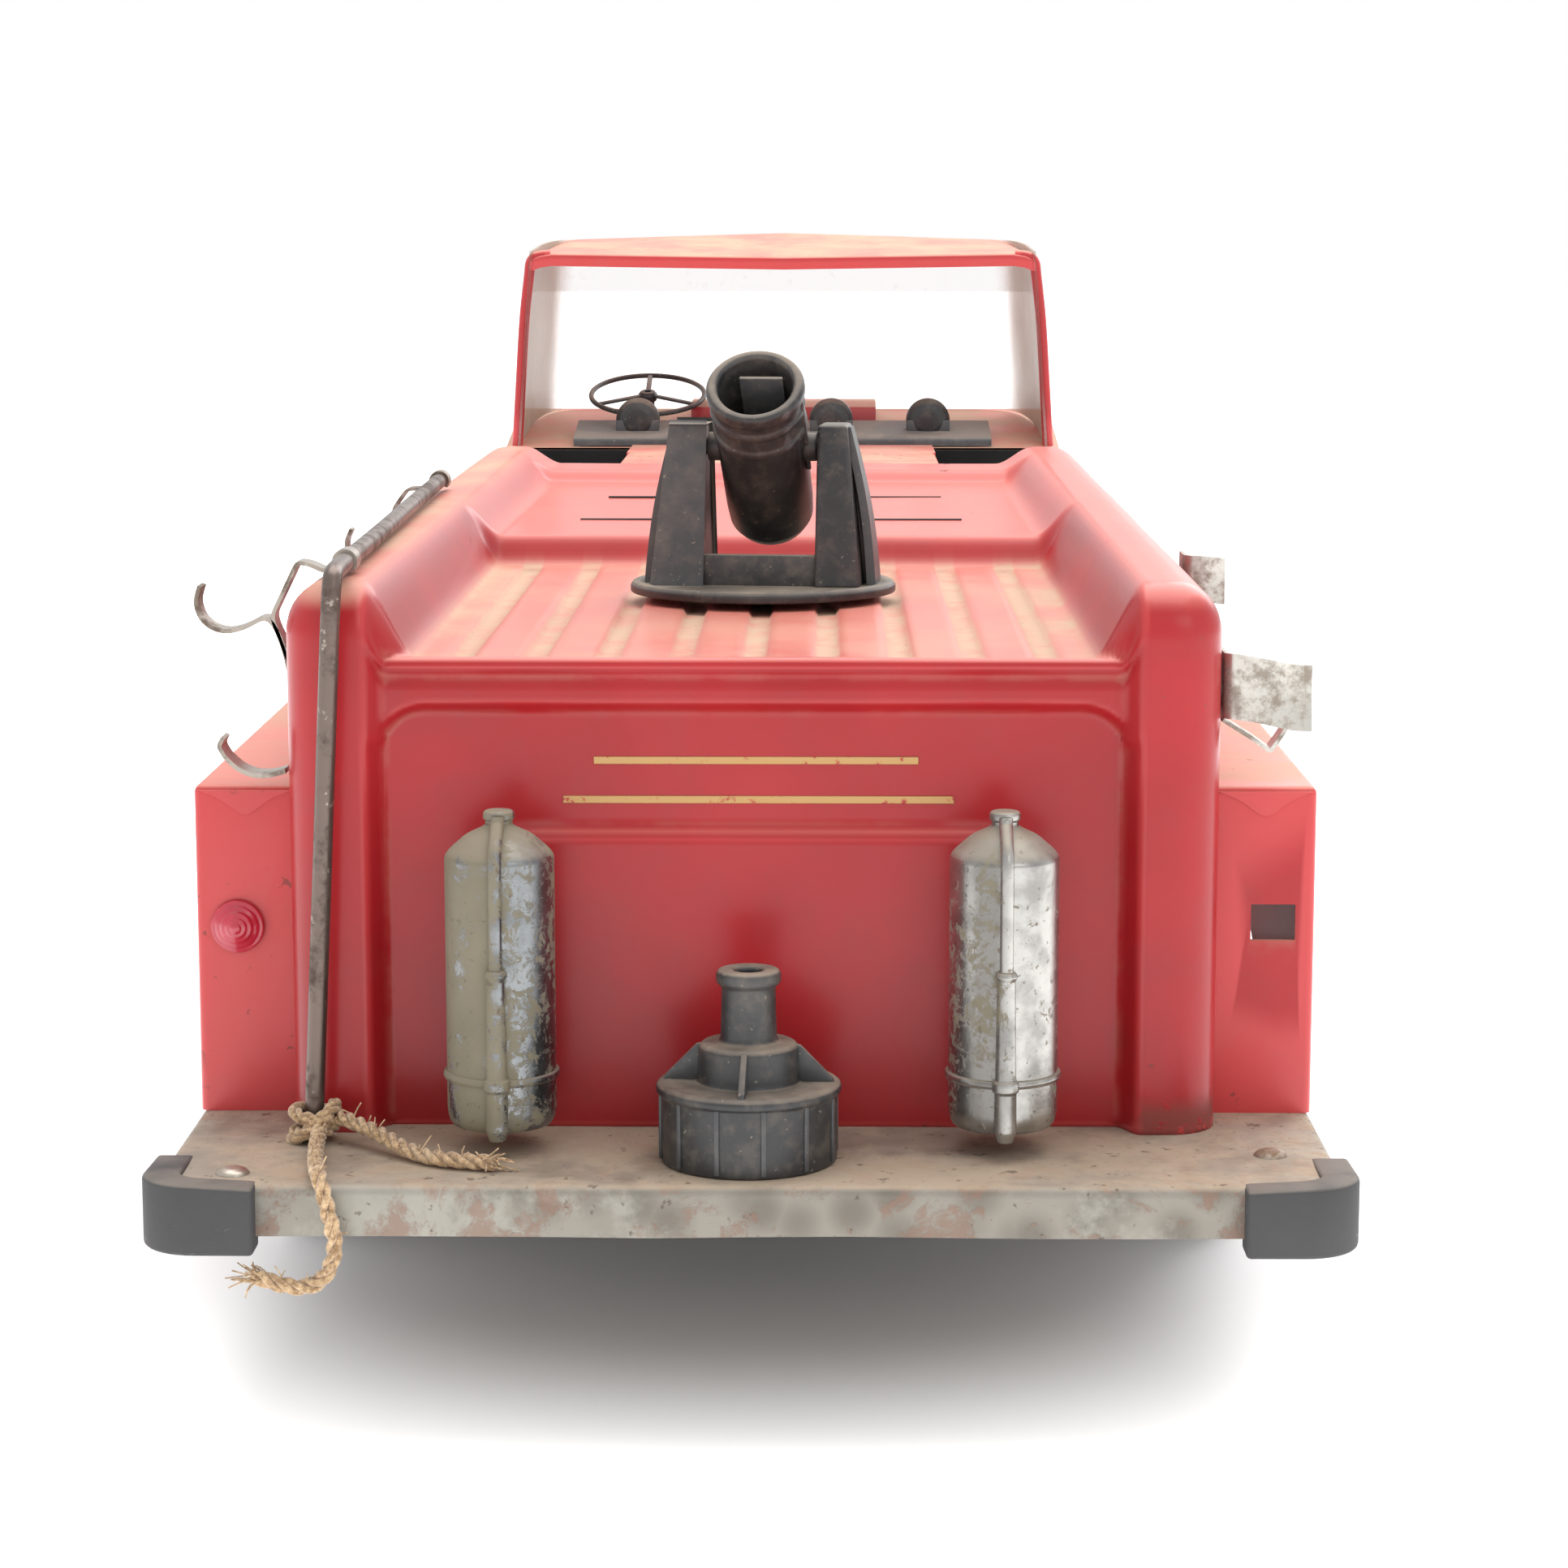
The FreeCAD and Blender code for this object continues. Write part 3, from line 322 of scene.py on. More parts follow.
def bareCorner(f):  # paint gone from the foot of the right rear post
    low = 1 - f.coord(2).between(stepTop + 0.0035, stepTop + 0.0085)
    ragged = f.noise(230, 4, 0.7).between(0.38, 0.46)
    return low * f.coord(0).between(0.0735, 0.0765) * (1 - f.coord(1).between(rearEdge + 0.05,
                                                                              rearEdge + 0.052)) * ragged


def galvanisedSteel():
    f = Finish("galvanisedSteel")
    spangle, cloud, fine = f.cells(120), f.noise(26, 6, 0.7), f.noise(210, 4, 0.7)
    base = f.mix(spangle.between(0.1, 0.8), (0.17, 0.155, 0.13), (0.27, 0.25, 0.215))
    base = f.mix(cloud.between(0.5, 0.62) * 0.75, base, (0.36, 0.345, 0.30))
    rust = (f.noise(60, 6, 0.75, warp=0.6) * 0.75 + 0.25 * fine).between(0.50, 0.58)
    base = f.mix(rust * 0.6, base, (0.22, 0.115, 0.075))
    up = f.normalPart(2).between(0.5, 0.97)
    dust = (up * (0.35 + 0.8 * f.noise(30, 6, 0.7).between(0.36, 0.62))).clipped()
    base = f.mix(dust * 0.8, base, (0.44, 0.34, 0.245))
    dark = f.noise(330, 3, 0.6).between(0.64, 0.70)
    base = f.mix(dark * 0.6, base, (0.07, 0.045, 0.03))
    f.feed(color=base, roughness=(0.52 + 0.3 * dust + 0.2 * rust).clipped(),
           metallic=(0.55 - 0.55 * dust - 0.5 * rust).clipped())
    return f.bump(0.5 * fine + 0.3 * cloud + 0.4 * rust, 0.4, 0.0005)


def blackMoulding(name="blackMoulding", dusty=1.0, tone=0.025):
    f = Finish(name, specular=0.5)
    fine, cloud = f.noise(260, 5, 0.65), f.noise(40, 5, 0.6)
    base = f.mix(cloud.between(0.35, 0.7), (tone * 0.8, tone * 0.8, tone * 0.85),
                 (tone * 1.7, tone * 1.7, tone * 1.75))
    up = f.normalPart(2).between(0.35, 0.95)
    film = 0.16 * fine.between(0.45, 0.7) + 0.28 * cloud.between(0.5, 0.72) * fine
    lint = f.noise(900, 2, 0.5).between(0.70, 0.73)
    dust = ((up * (0.30 + 0.6 * cloud.between(0.35, 0.65)) + film + 0.5 * f.hollows(0.49, 0.42))
            * dusty).clipped()
    base = f.mix(dust * 0.75, base, (0.36, 0.29, 0.22))
    base = f.mix(f.edges(0.53, 0.60) * 0.35, base, (0.16, 0.165, 0.175))
    base = f.mix(lint * 0.35, base, (0.42, 0.36, 0.28))
    f.feed(color=base, roughness=(0.36 + 0.1 * fine + 0.45 * dust).clipped())
    return f.bump(fine * 0.6 + lint, 0.25, 0.0003)


def cornerRubber():
    f = Finish("cornerRubber")
    fine, cloud = f.noise(500, 4, 0.7), f.noise(60, 4)
    base = f.mix(cloud, (0.030, 0.030, 0.032), (0.070, 0.069, 0.070))
    up = f.normalPart(2).between(0.4, 0.95)
    base = f.mix((up * 0.55 * cloud.between(0.2, 0.6)).clipped(), base, (0.27, 0.23, 0.19))
    scuff = f.noise(170, 6, 0.75, stretch=(1, 1, 2.5)).between(0.62, 0.68)
    base = f.mix(scuff * 0.35, base, (0.20, 0.19, 0.18))
    f.feed(color=base, roughness=(0.62 + 0.25 * cloud).clipped())
    return f.bump(fine + scuff, 0.35, 0.0004)


def wornChrome(name, wear, middle, tint):  # plating worn off in flakes down to brown plastic
    f = Finish(name)
    fleck = f.noise(260, 9, 0.8, warp=0.5)
    streak = f.noise(48, 5, 0.6, stretch=(1.4, 1.4, 0.30))
    x = f.coord(0) - middle
    shade = (1 - (x + 0.0035).math("ABSOLUTE").between(0.0012, 0.0048)) * 0.9
    outer = x.between(-0.0108, -0.0072) * -1 + 1
    gone = (0.62 * fleck + 0.38 * streak + 0.05 * shade + 0.05 * outer).between(wear, wear + 0.05)
    side = f.mix(f.noise(70, 5), (0.115, 0.098, 0.058), (0.23, 0.20, 0.14))
    bright = f.mix(f.noise(160, 4).between(0.4, 0.7), tint, tuple(c * 0.62 for c in tint))
    bright = f.mix(shade, bright, (0.16, 0.15, 0.14))
    color = f.mix(gone, bright, side)
    specks = f.noise(620, 3, 0.6).between(0.62, 0.68)
    color = f.mix(specks * 0.7, color, (0.10, 0.075, 0.05))
    up = f.normalPart(2).between(0.3, 0.9)
    color = f.mix((up * 0.75).clipped(), color, (0.26, 0.22, 0.16))
    f.feed(color=color, roughness=(0.24 + 0.36 * gone + 0.3 * up).clipped(),
           metallic=(0.92 - 0.86 * gone - 0.5 * up - 0.4 * shade).clipped())
    return f.bump(fleck - 0.35 * gone, 0.25, 0.0003)


def tarnished(name, light, dark, scale=150):
    f = Finish(name)
    spots, long = f.noise(scale, 7, 0.75), f.noise(40, 4, 0.6, stretch=(1, 0.3, 1))
    rust = (0.6 * spots + 0.4 * long).between(0.46, 0.60)
    color = f.mix(rust, light, dark)
    pale = f.noise(scale * 2.2, 4, 0.7).between(0.62, 0.68)
    color = f.mix(pale * 0.5, color, (0.50, 0.45, 0.38))
    f.feed(color=color, roughness=(0.36 + 0.32 * rust).clipped(), metallic=(0.85 - 0.55 * rust).clipped())
    return f.bump(spots, 0.3, 0.0003)


def plain(name, base, roughness, metallic=0.0):
    f = Finish(name, metallic=metallic)
    fine, cloud = f.noise(240, 4, 0.6), f.noise(35, 4)
    lighter = tuple(min(1.0, c * 1.35 + 0.01) for c in base)
    color = f.mix(cloud.between(0.3, 0.7), base, lighter)
    up = f.normalPart(2).between(0.6, 0.98)
    color = f.mix((up * 0.35 * cloud).clipped(), color, dustColor)
    f.feed(color=color, roughness=(roughness + 0.2 * (cloud - 0.5) + 0.2 * up).clipped())
    return f.bump(fine, 0.2, 0.0003)


def clearPane():
    f = Finish("clearPane", ior=1.45, roughness=0.12)
    side = (1 - f.normalPart(1).math("ABSOLUTE")).between(0.10, 0.75)
    low = (1 - f.coord(2).between(stepTop + 0.101, stepTop + 0.122)) * 0.5
    streak = f.noise(70, 6, 0.7, stretch=(1, 1, 0.25))
    grime = (side * (0.45 + 0.5 * streak) + low * streak + 0.05 * f.noise(260, 4).between(0.6, 0.7)).clipped()
    color = f.mix(side, (0.93, 0.92, 0.88), (0.42, 0.33, 0.25))
    f.feed(color=color, roughness=(0.08 + 0.7 * grime).clipped(), alpha=(0.05 + 0.85 * grime).clipped())
    return f


def redLens():
    f = Finish("redLens", transmission=0.35, ior=1.49, coat=0.6)
    fine = f.noise(300, 3)
    f.feed(color=f.mix(fine, (0.50, 0.010, 0.035), (0.74, 0.04, 0.085)), roughness=0.14 + 0.2 * fine)
    return f.bump(fine, 0.2, 0.0002)


def juteTwine():
    f = Finish("juteTwine", sheen=0.4, sheenRoughness=0.6)
    fibre = f.noise(900, 5, 0.7)
    broad = f.noise(120, 4, 0.6)
    color = f.mix(fibre.between(0.35, 0.68), (0.26, 0.145, 0.06), (0.66, 0.46, 0.26))
    color = f.mix(broad.between(0.5, 0.7) * 0.4, color, (0.76, 0.61, 0.42))
    f.feed(color=color, roughness=0.8 + 0.15 * fibre)
    return f.bump(fibre, 0.6, 0.0004)


def goldStripe():
    f = Finish("goldStripe", metallic=0.25)
    wear = f.noise(300, 5, 0.7).between(0.58, 0.66)
    f.feed(color=f.mix(wear, (0.46, 0.27, 0.10), (0.40, 0.05, 0.045)), roughness=0.42 + 0.3 * wear)
    return f


makeStage()
paint = redPaint(chipping=0.78, dusty=0.8)
bedPaint = redPaint("redPaintBed", 0.6, bed=True, chipping=0.70)
# a lit copy of the red paint for the upward panels: painted light, paler all over
paintLitTop = redPaint("redPaintLitTop", 1.0, 0.10)
galvanised = galvanisedSteel()
black = blackMoulding()
blackDusty = blackMoulding("blackMouldingDusty", 1.6, 0.03)
rubber = cornerRubber()
chromeLeft = wornChrome("chromeOlive", 0.47, -0.048, (0.22, 0.23, 0.235))
chromeRight = wornChrome("chromeBright", 0.56, 0.048, (0.42, 0.41, 0.39))
chromeLamp = plain("chromeLamp", (0.62, 0.61, 0.59), 0.22, 0.95)
rodSteel = tarnished("rodSteel", (0.15, 0.115, 0.10), (0.065, 0.040, 0.030))
stripSteel = tarnished("stripSteel", (0.34, 0.30, 0.26), (0.12, 0.085, 0.06))
bracketSteel = tarnished("bracketSteel", (0.50, 0.48, 0.44), (0.26, 0.22, 0.18), 230)
lens, pane, jute, gold = redLens(), clearPane(), juteTwine(), goldStripe()
chassisBlack = plain("chassisBlack", (0.018, 0.018, 0.018), 0.6)
# near-black for the sheets that stand in for the shade inside the cab
shadeBlack = plain("shadeBlack", (0.006, 0.006, 0.006), 0.9)
seatBlack = plain("seatBlack", (0.022, 0.022, 0.024), 0.55)
tyreBlack = plain("tyreBlack", (0.020, 0.020, 0.020), 0.78)
hubWhite = plain("hubWhite", (0.62, 0.60, 0.56), 0.35)
brightPanel = plain("brightPanel", (0.36, 0.36, 0.35), 0.35, 0.6)
axleSteel = plain("axleSteel", (0.33, 0.31, 0.29), 0.4, 0.9)
lampGlass = Finish("lampGlass", color=(0.9, 0.9, 0.86), roughness=0.08, transmission=0.85, ior=1.45)
print("stage and materials made")


# mesh helpers

def newPiece(name, bm, material, body="engine", stand=(), sharp=38, recalc=True):
    if recalc:
        bmesh.ops.remove_doubles(bm, verts=bm.verts, dist=1e-6)
        bmesh.ops.recalc_face_normals(bm, faces=bm.faces)
    mesh = bpy.data.meshes.new(name)
    bm.to_mesh(mesh)
    bm.free()
    for face in mesh.polygons:
        face.use_smooth = True
    mesh.set_sharp_from_angle(angle=math.radians(sharp))
    piece = bpy.data.objects.new(name, mesh)
    bpy.context.scene.collection.objects.link(piece)
    mesh.materials.append(material.material)
    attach(piece, body)
    if stand:
        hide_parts(*stand)
    return piece


def addBlock(bm, x, along, rise, bevel=0.0, segments=3):
    verts = bmesh.ops.create_cube(bm, size=1)["verts"]
    low, high = spot(x[0], along[0], rise[0]), spot(x[1], along[1], rise[1])
    bmesh.ops.transform(bm, matrix=Matrix.Translation((low + high) / 2) @ Matrix.Diagonal((*(high - low), 1)),
                        verts=verts)
    if bevel:
        soften(bm, verts, bevel, segments)
    return verts


def soften(bm, verts, bevel, segments=3):
    roundEdges(bm, {edge for vert in verts for edge in vert.link_edges}, bevel, segments)


def roundEdges(bm, edges, width, segments, clamp=False):
    bmesh.ops.bevel(bm, geom=list(edges), offset=width * mm, offset_type="OFFSET", segments=segments,
                    profile=0.5,
                    affect="EDGES", clamp_overlap=clamp, material=-1)


def vertsOf(made):
    return [part for part in made["geom"] if isinstance(part, bmesh.types.BMVert)]


def placed(bm, known, place):  # moves whatever has been added since known was noted
    fresh = [v for v in bm.verts if v not in known]
    bmesh.ops.transform(bm, matrix=place, verts=fresh)
    return fresh


# a softened bar, sized in millimetres before it is placed
def addBar(bm, centre, size, bevel, segments, place):
    known = set(bm.verts)
    shape = Matrix.Translation(Vector(centre) * mm) @ Matrix.Diagonal((*(Vector(size) * mm), 1))
    soften(bm, bmesh.ops.create_cube(bm, size=1, matrix=shape)["verts"], bevel, segments)
    return placed(bm, known, place)


def addRibbon(bm, points, sweep):  # an open line of points swept along one direction
    verts = [bm.verts.new(point) for point in points]
    edges = [bm.edges.new(pair) for pair in zip(verts, verts[1:])]
    swept = bmesh.ops.extrude_edge_only(bm, edges=edges)
    bmesh.ops.translate(bm, vec=Vector(sweep) * mm, verts=vertsOf(swept))


def addSlab(bm, points, sweep):  # a flat outline given thickness
    face = bm.faces.new([bm.verts.new(point) for point in points])
    swept = bmesh.ops.extrude_face_region(bm, geom=[face])
    bmesh.ops.translate(bm, vec=Vector(sweep) * mm, verts=vertsOf(swept))


def faceUp(bm):
    bm.normal_update()
    if sum(face.normal.z * face.calc_area() for face in bm.faces) < 0:
        bmesh.ops.reverse_faces(bm, faces=bm.faces)


def plate(bm, thickness):
    bmesh.ops.solidify(bm, geom=bm.faces[:], thickness=thickness * mm)


def gridPlaces(bm, columns, rows):  # a grid's corners, each with its column and row
    bmesh.ops.create_grid(bm, x_segments=columns, y_segments=rows, size=1)
    for vert in bm.verts:
        yield vert, round((vert.co.x + 1) / 2 * columns), round((vert.co.y + 1) / 2 * rows)


def spanOf(node):  # a node's extent across, along and up, in the same millimetres as spot
    low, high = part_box(node)
    return (low.x / mm, high.x / mm), (alongOf(low.y), alongOf(high.y)), (riseOf(low.z), riseOf(high.z))


def eased(points, radius, steps=3):  # rounds the corners of an open outline
    out = [points[0]]
    for before, corner, after in zip(points, points[1:], points[2:]):
        a, c, b = Vector(before), Vector(corner), Vector(after)
        cut = min(radius, 0.45 * (a - c).length, 0.45 * (b - c).length)
        first, last = c + (a - c).normalized() * cut, c + (b - c).normalized() * cut
        for i in range(steps + 1):
            t = i / steps
            out.append(tuple(first * (1 - t) ** 2 + c * 2 * t * (1 - t) + last * t * t))
    return out + [points[-1]]


def addLathe(bm, outline, place, steps=48, radius=0.35, arcSteps=3):
    known = set(bm.verts)
    points = eased(outline, radius, arcSteps) if radius else outline
    verts = [bm.verts.new((r * mm, 0, rise * mm)) for r, rise in points]
    edges = [bm.edges.new(pair) for pair in zip(verts, verts[1:])]
    bmesh.ops.spin(bm, geom=verts + edges, axis=(0, 0, 1), cent=(0, 0, 0), dvec=(0, 0, 0), angle=math.tau,
                   steps=steps, use_merge=True, use_duplicate=False)
    fresh = [v for v in bm.verts if v not in known]
    bmesh.ops.remove_doubles(bm, verts=fresh, dist=1e-6)
    return placed(bm, known, place)


def addStrip(bm, outline, along, width, thickness, radius=2.0):
    known = set(bm.verts)
    addRibbon(bm, [spot(x, along - width / 2, rise) for x, rise in eased(outline, radius, 4)], (0, width, 0))
    faces = list({face for v in bm.verts if v not in known for face in v.link_faces})
    bmesh.ops.recalc_face_normals(bm, faces=faces)
    bmesh.ops.solidify(bm, geom=faces, thickness=thickness * mm)


def curveMesh(name, points, resolution, thickness=0.0):  # the mesh of a smooth curve, or of a tube along it
    curve = bpy.data.curves.new(name, "CURVE")
    curve.dimensions, curve.resolution_u = "3D", resolution
    if thickness:
        curve.bevel_depth, curve.bevel_resolution, curve.use_fill_caps = thickness * mm, 6, True
    spline = curve.splines.new("NURBS")
    spline.points.add(len(points) - 1)
    for target, point in zip(spline.points, points):
        target.co = (*point, 1)
    spline.order_u, spline.use_endpoint_u = 3, True
    helper = bpy.data.objects.new(name + "Helper", curve)
    bpy.context.scene.collection.objects.link(helper)
    bpy.context.view_layer.update()
    mesh = bpy.data.meshes.new_from_object(helper)
    bpy.data.objects.remove(helper)
    return mesh


def tubeMesh(name, points, radius):
    mesh = curveMesh(name, points, 6, radius)
    bm = bmesh.new()
    bm.from_mesh(mesh)
    bpy.data.meshes.remove(mesh)
    bmesh.ops.triangulate(bm, faces=[f for f in bm.faces if len(f.verts) > 4])
    return bm


def polished(node, material, width=0.0, segments=2):  # a carried-over node, or a copy with eased edges
    piece = nodes[node]
    if not width:
        piece.data.materials.clear()
        piece.data.materials.append(material.material)
        return piece
    bm = bmesh.new()
    bm.from_mesh(piece.data)
    bmesh.ops.remove_doubles(bm, verts=bm.verts, dist=1e-6)
    bmesh.ops.dissolve_limit(bm, angle_limit=math.radians(1), verts=bm.verts, edges=bm.edges)
    edges = [e for e in bm.edges if len(e.link_faces) == 2 and e.calc_face_angle(0) > math.radians(30)]
    roundEdges(bm, edges, width, segments, True)
    return newPiece(node + "Shell", bm, material, piece["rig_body"], (node,), recalc=False)


# hose bed body: one pressed skin swept up the rear posts and forward along the rails

bedSizes = {
    "back": 43, "front": 447, "turn": 11, "corner": 9.5, "panel": (71.0, 75.4), "tray": (65.0, 76.0),
    "floor": 92.5, "pan": 99.5, "deck": 103, "panStart": 241, "deckStart": 417, "step": 3.5,
    "depth": 6.5, "pad": (2.6, 42, 54, 57.6, 60.2), "roll": (82.0, 84.6, 87.4, 89.3, 91.2), "lipRadius": 2.0,
    "grooves": 4, "groovePitch": 14.3, "grooveDepth": 1.1, "grooveHalf": (1.9, 2.7),
    "grooveSpan": (52.5, 233),
    "skin": 0.9, "lip": 93.2, "dent": 0.3,
}
railTop = riseOf(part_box("hose_bed_body")[1].z)


def bedColumns():  # distances across, left to right, with how far the outer corner has turned down
    s = bedSizes
    half = set()
    for i in range(s["grooves"] + 1):
        middle = i * s["groovePitch"]
        flank = [middle + sign * edge for sign in (-1, 1) for edge in (*s["grooveHalf"], 4.4)]
        half.update(round(x, 3) for x in [middle, middle + 7.15, *flank] if 0 <= x < 63)
    half.update(round(63 + 0.9 * i, 3) for i in range(20))
    out = [(x, 0.0) for x in sorted(half)]
    flat = bodyHalf - s["corner"]
    for i in range(1, 10):
        turn = math.radians(10 * i)
        out.append((flat + s["corner"] * math.sin(turn), s["corner"] * (1 - math.cos(turn))))
    return [(-x, drop) for x, drop in out[:0:-1]] + out


def panelDepth(across, rise):  # how far the rear panel lies in from the posts' crest
    s = bedSizes
    amount, padInner, padOuter, padLow, padHigh = s["pad"]
    pad = (1 - ease(across, padInner, padOuter)) * (0.35 + 0.65 * ease(rise, 5, 50)) * (1 - ease(rise, padLow,
                                                                                                 padHigh))
    low, high, grooveLow, grooveHigh, top = s["roll"]
    cornerDrop = 9 - math.sqrt(max(0.0, 81 - max(0.0, min(9.0, across - 63)) ** 2))
    up = rise + cornerDrop * 0.8 * (1 if rise < high else 0)
    depth = s["depth"] - amount * pad - 2.3 * ease(up, low, high)
    return depth + 1.0 * ease(rise, grooveLow, grooveHigh) - 1.9 * ease(rise, grooveHigh, top)


# one station of the sweep: kind, crest (along, rise), outward direction, and the middle's own place
def bedRows():
    s = bedSizes
    out = []
    straight = railTop - s["turn"]
    lipFoot = s["lip"] - s["lipRadius"]
    count = 74
    for i in range(count):
        rise = straight * i / count
        share = ease(rise, 70, straight)
        out.append(("rear", (s["back"], rise), (-1, 0), rise + (lipFoot - straight) * share))
    lipAlong = s["back"] + panelDepth(0, lipFoot)
    for i in range(15):
        share = i / 14
        turn = math.radians(90 * share)
        crest = (s["back"] + s["turn"] * (1 - math.cos(turn)), straight + s["turn"] * math.sin(turn))
        lip = math.radians(180 * min(share, 0.5))
        place = [lipAlong + s["lipRadius"] * (1 - math.cos(lip)), lipFoot + s["lipRadius"] * math.sin(lip)]
        beyond = ease(share, 0.5, 1.0)
        place[0] += 7 * max(0.0, share - 0.5) * 2
        place[1] -= (s["lip"] - s["floor"]) * beyond
        out.append(("bend", crest, (-math.cos(turn), math.sin(turn)), tuple(place)))
    start = max(s["back"] + s["turn"], out[-1][3][0]) + 0.6
    stops = {start + 5 * i for i in range(int((s["front"] - start) / 5))} | {s["front"]}
    for edge in (s["panStart"], s["deckStart"], *s["grooveSpan"]):
        stops |= {edge + 0.8 * i for i in range(-5, 6)}
    for along in sorted(a for a in stops if start <= a <= s["front"]):
        rise = s["floor"] + (s["pan"] - s["floor"]) * ease(along, s["panStart"] - s["step"],
                                                           s["panStart"] + s["step"])
        rise += (s["deck"] - s["pan"]) * ease(along, s["deckStart"] - s["step"], s["deckStart"] + s["step"])
        out.append(("top", (along, railTop), (0, 1), (along, rise)))
    return out


def bedPoint(x, drop, row):
    s = bedSizes
    kind, crest, out, middle = row
    across = abs(x)
    inner, outer = s["panel"] if kind == "rear" else s["tray"]
    if kind == "bend":
        blend = ease(math.atan2(out[1], -out[0]), 0.4, 1.4)
        inner = s["panel"][0] + (s["tray"][0] - s["panel"][0]) * blend
        outer = s["panel"][1] + (s["tray"][1] - s["panel"][1]) * blend
    share = 1 - ease(across, inner, outer)
    if kind == "rear":
        place = (s["back"] + panelDepth(across, middle), middle)
    elif kind == "bend":
        place = (middle[0] + panelDepth(across, s["lip"]) - panelDepth(0, s["lip"]), middle[1])
    else:
        nearest = min(s["grooves"], round(across / s["groovePitch"])) * s["groovePitch"]
        groove = 1 - ease(abs(across - nearest), *s["grooveHalf"])
        start, end = s["grooveSpan"]
        groove *= ease(middle[0], start, start + 1.6) * (1 - ease(middle[0], end - 1.6, end))
        place = (middle[0], middle[1] - s["grooveDepth"] * groove)
    dent = s["dent"] * noise.noise(Vector((x, crest[0] * 0.5, crest[1])) * 0.02)
    along = crest[0] - out[0] * drop + (place[0] - crest[0]) * share
    rise = crest[1] - out[1] * drop + (place[1] - crest[1]) * share
    return spot(x, along - out[0] * (dent + s["dent"]), rise - out[1] * (dent + s["dent"]))


def bedSkin():
    columns, rows = bedColumns(), bedRows()
    bm = bmesh.new()
    for vert, column, row in gridPlaces(bm, len(columns) - 1, len(rows) - 1):
        vert.co = bedPoint(*columns[column], rows[row])
    bmesh.ops.recalc_face_normals(bm, faces=bm.faces)
    faceUp(bm)
    piece = newPiece("hoseBedSkin", bm, bedPaint, stand=("hose_bed_body",), sharp=60,
                     recalc=False)
    shell = piece.modifiers.new("sheet", "SOLIDIFY")
    shell.thickness, shell.offset = bedSizes["skin"] * mm, -1


def bedSides():
    s = bedSizes
    bm = bmesh.new()
    for side in (-1, 1):
        x = sorted((side * bodyHalf, side * (bodyHalf - s["skin"])))
        addBlock(bm, x, (s["back"] + s["corner"], s["front"]), (0.4, railTop - s["corner"]), 0.3, 1)
    addBlock(bm, (-bodyHalf + 1, bodyHalf - 1), (s["front"] - 1.2, s["front"]), (0.4, s["deck"] - 1), 0.3, 1)
    newPiece("hoseBedSides", bm, paint)
    # black strips flush with the pan: painted shade standing in for the open slots
    bm = bmesh.new()
    for along, half in ((287, 17), (360, 14)):
        for x in (-32, 32):
            addBlock(bm, (x - half, x + half), (along, along + 1.3), (s["pan"] - 0.4, s["pan"] + 0.12), 0.05,
                     1)
    newPiece("panSlots", bm, seatBlack)


stripeSizes = {"lines": ((-31, 32, 72.8), (-37, 39, 65.1)), "width": 1.5}


def pinstripes():  # plain gold lines
    s = stripeSizes
    bm = bmesh.new()
    face = bedSizes["back"] + panelDepth(0, 70) + bedSizes["dent"]
    for start, end, rise in s["lines"]:
        addBlock(bm, (start, end), (face - 0.35, face + 0.6), (rise - s["width"] / 2, rise + s["width"] / 2),
                 0.1, 1)
    newPiece("pinstripes", bm, gold)


bedSkin()
bedSides()
pinstripes()
print("hose bed made")


# fenders, their outer skins and the tail lamp

fenderSizes = {"top": riseOf(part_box("fender_left")[1].z), "skin": 1.0, "soft": 1.6, "lip": 6.5, "arch": 38,
               "axle": -18, "rearWheel": 172, "frontWheel": 517, "tongueHalf": 9.3,
               "lampHole": ((98.3, 107.1), (35.2, 42.4)), "doors": ((90, 34, 10), (146, 52, 27),
                                                                    (222, 60, 10)), "doorTop": 50}


def drum(place, axis, radius, depth, segments):
    bm = bmesh.new()
    turned = Matrix.Translation(place) @ Matrix.Rotation(math.pi / 2, 4, axis)
    bmesh.ops.create_cone(bm, cap_ends=True, segments=segments, radius1=radius * mm, radius2=radius * mm,
                          depth=depth * mm, matrix=turned)
    return bm


def archCutter(side, along):
    return drum(spot(side * 108, along, fenderSizes["axle"]), "Y", fenderSizes["arch"], 40, 64)


def carve(piece, cutterMesh):
    mesh = bpy.data.meshes.new("cutter")
    cutterMesh.to_mesh(mesh)
    cutterMesh.free()
    cutter = bpy.data.objects.new("cutter", mesh)
    bpy.context.scene.collection.objects.link(cutter)
    knife = piece.modifiers.new("carve", "BOOLEAN")
    knife.operation, knife.object, knife.solver = "DIFFERENCE", cutter, "EXACT"
    bpy.context.view_layer.update()
    shaped = bpy.data.meshes.new_from_object(piece.evaluated_get(bpy.context.evaluated_depsgraph_get()))
    piece.modifiers.clear()
    old = piece.data
    piece.data = shaped
    bpy.data.meshes.remove(old)
    bpy.data.objects.remove(cutter)
    shaped.set_sharp_from_angle(angle=math.radians(38))


# a pressed box without the faces that look along openSides
def openBox(bm, x, along, rise, soft, wall, openSides):
    verts = addBlock(bm, x, along, rise)
    middle = sum((v.co for v in verts), Vector()) / 8
    faces = list({face for v in verts for face in v.link_faces})
    gone = [f for f in faces if any((f.calc_center_median() - middle).normalized().dot(Vector(d)) > 0.9
                                    for d in openSides)]
    bmesh.ops.delete(bm, geom=gone, context="FACES")
    roundEdges(bm, [e for e in bm.edges if len(e.link_faces) == 2], soft, 4)
    bmesh.ops.recalc_face_normals(bm, faces=bm.faces)
    bm.normal_update()
    if sum(f.normal.dot(f.calc_center_median() - middle) for f in bm.faces) < 0:
        bmesh.ops.reverse_faces(bm, faces=bm.faces)
    plate(bm, wall)


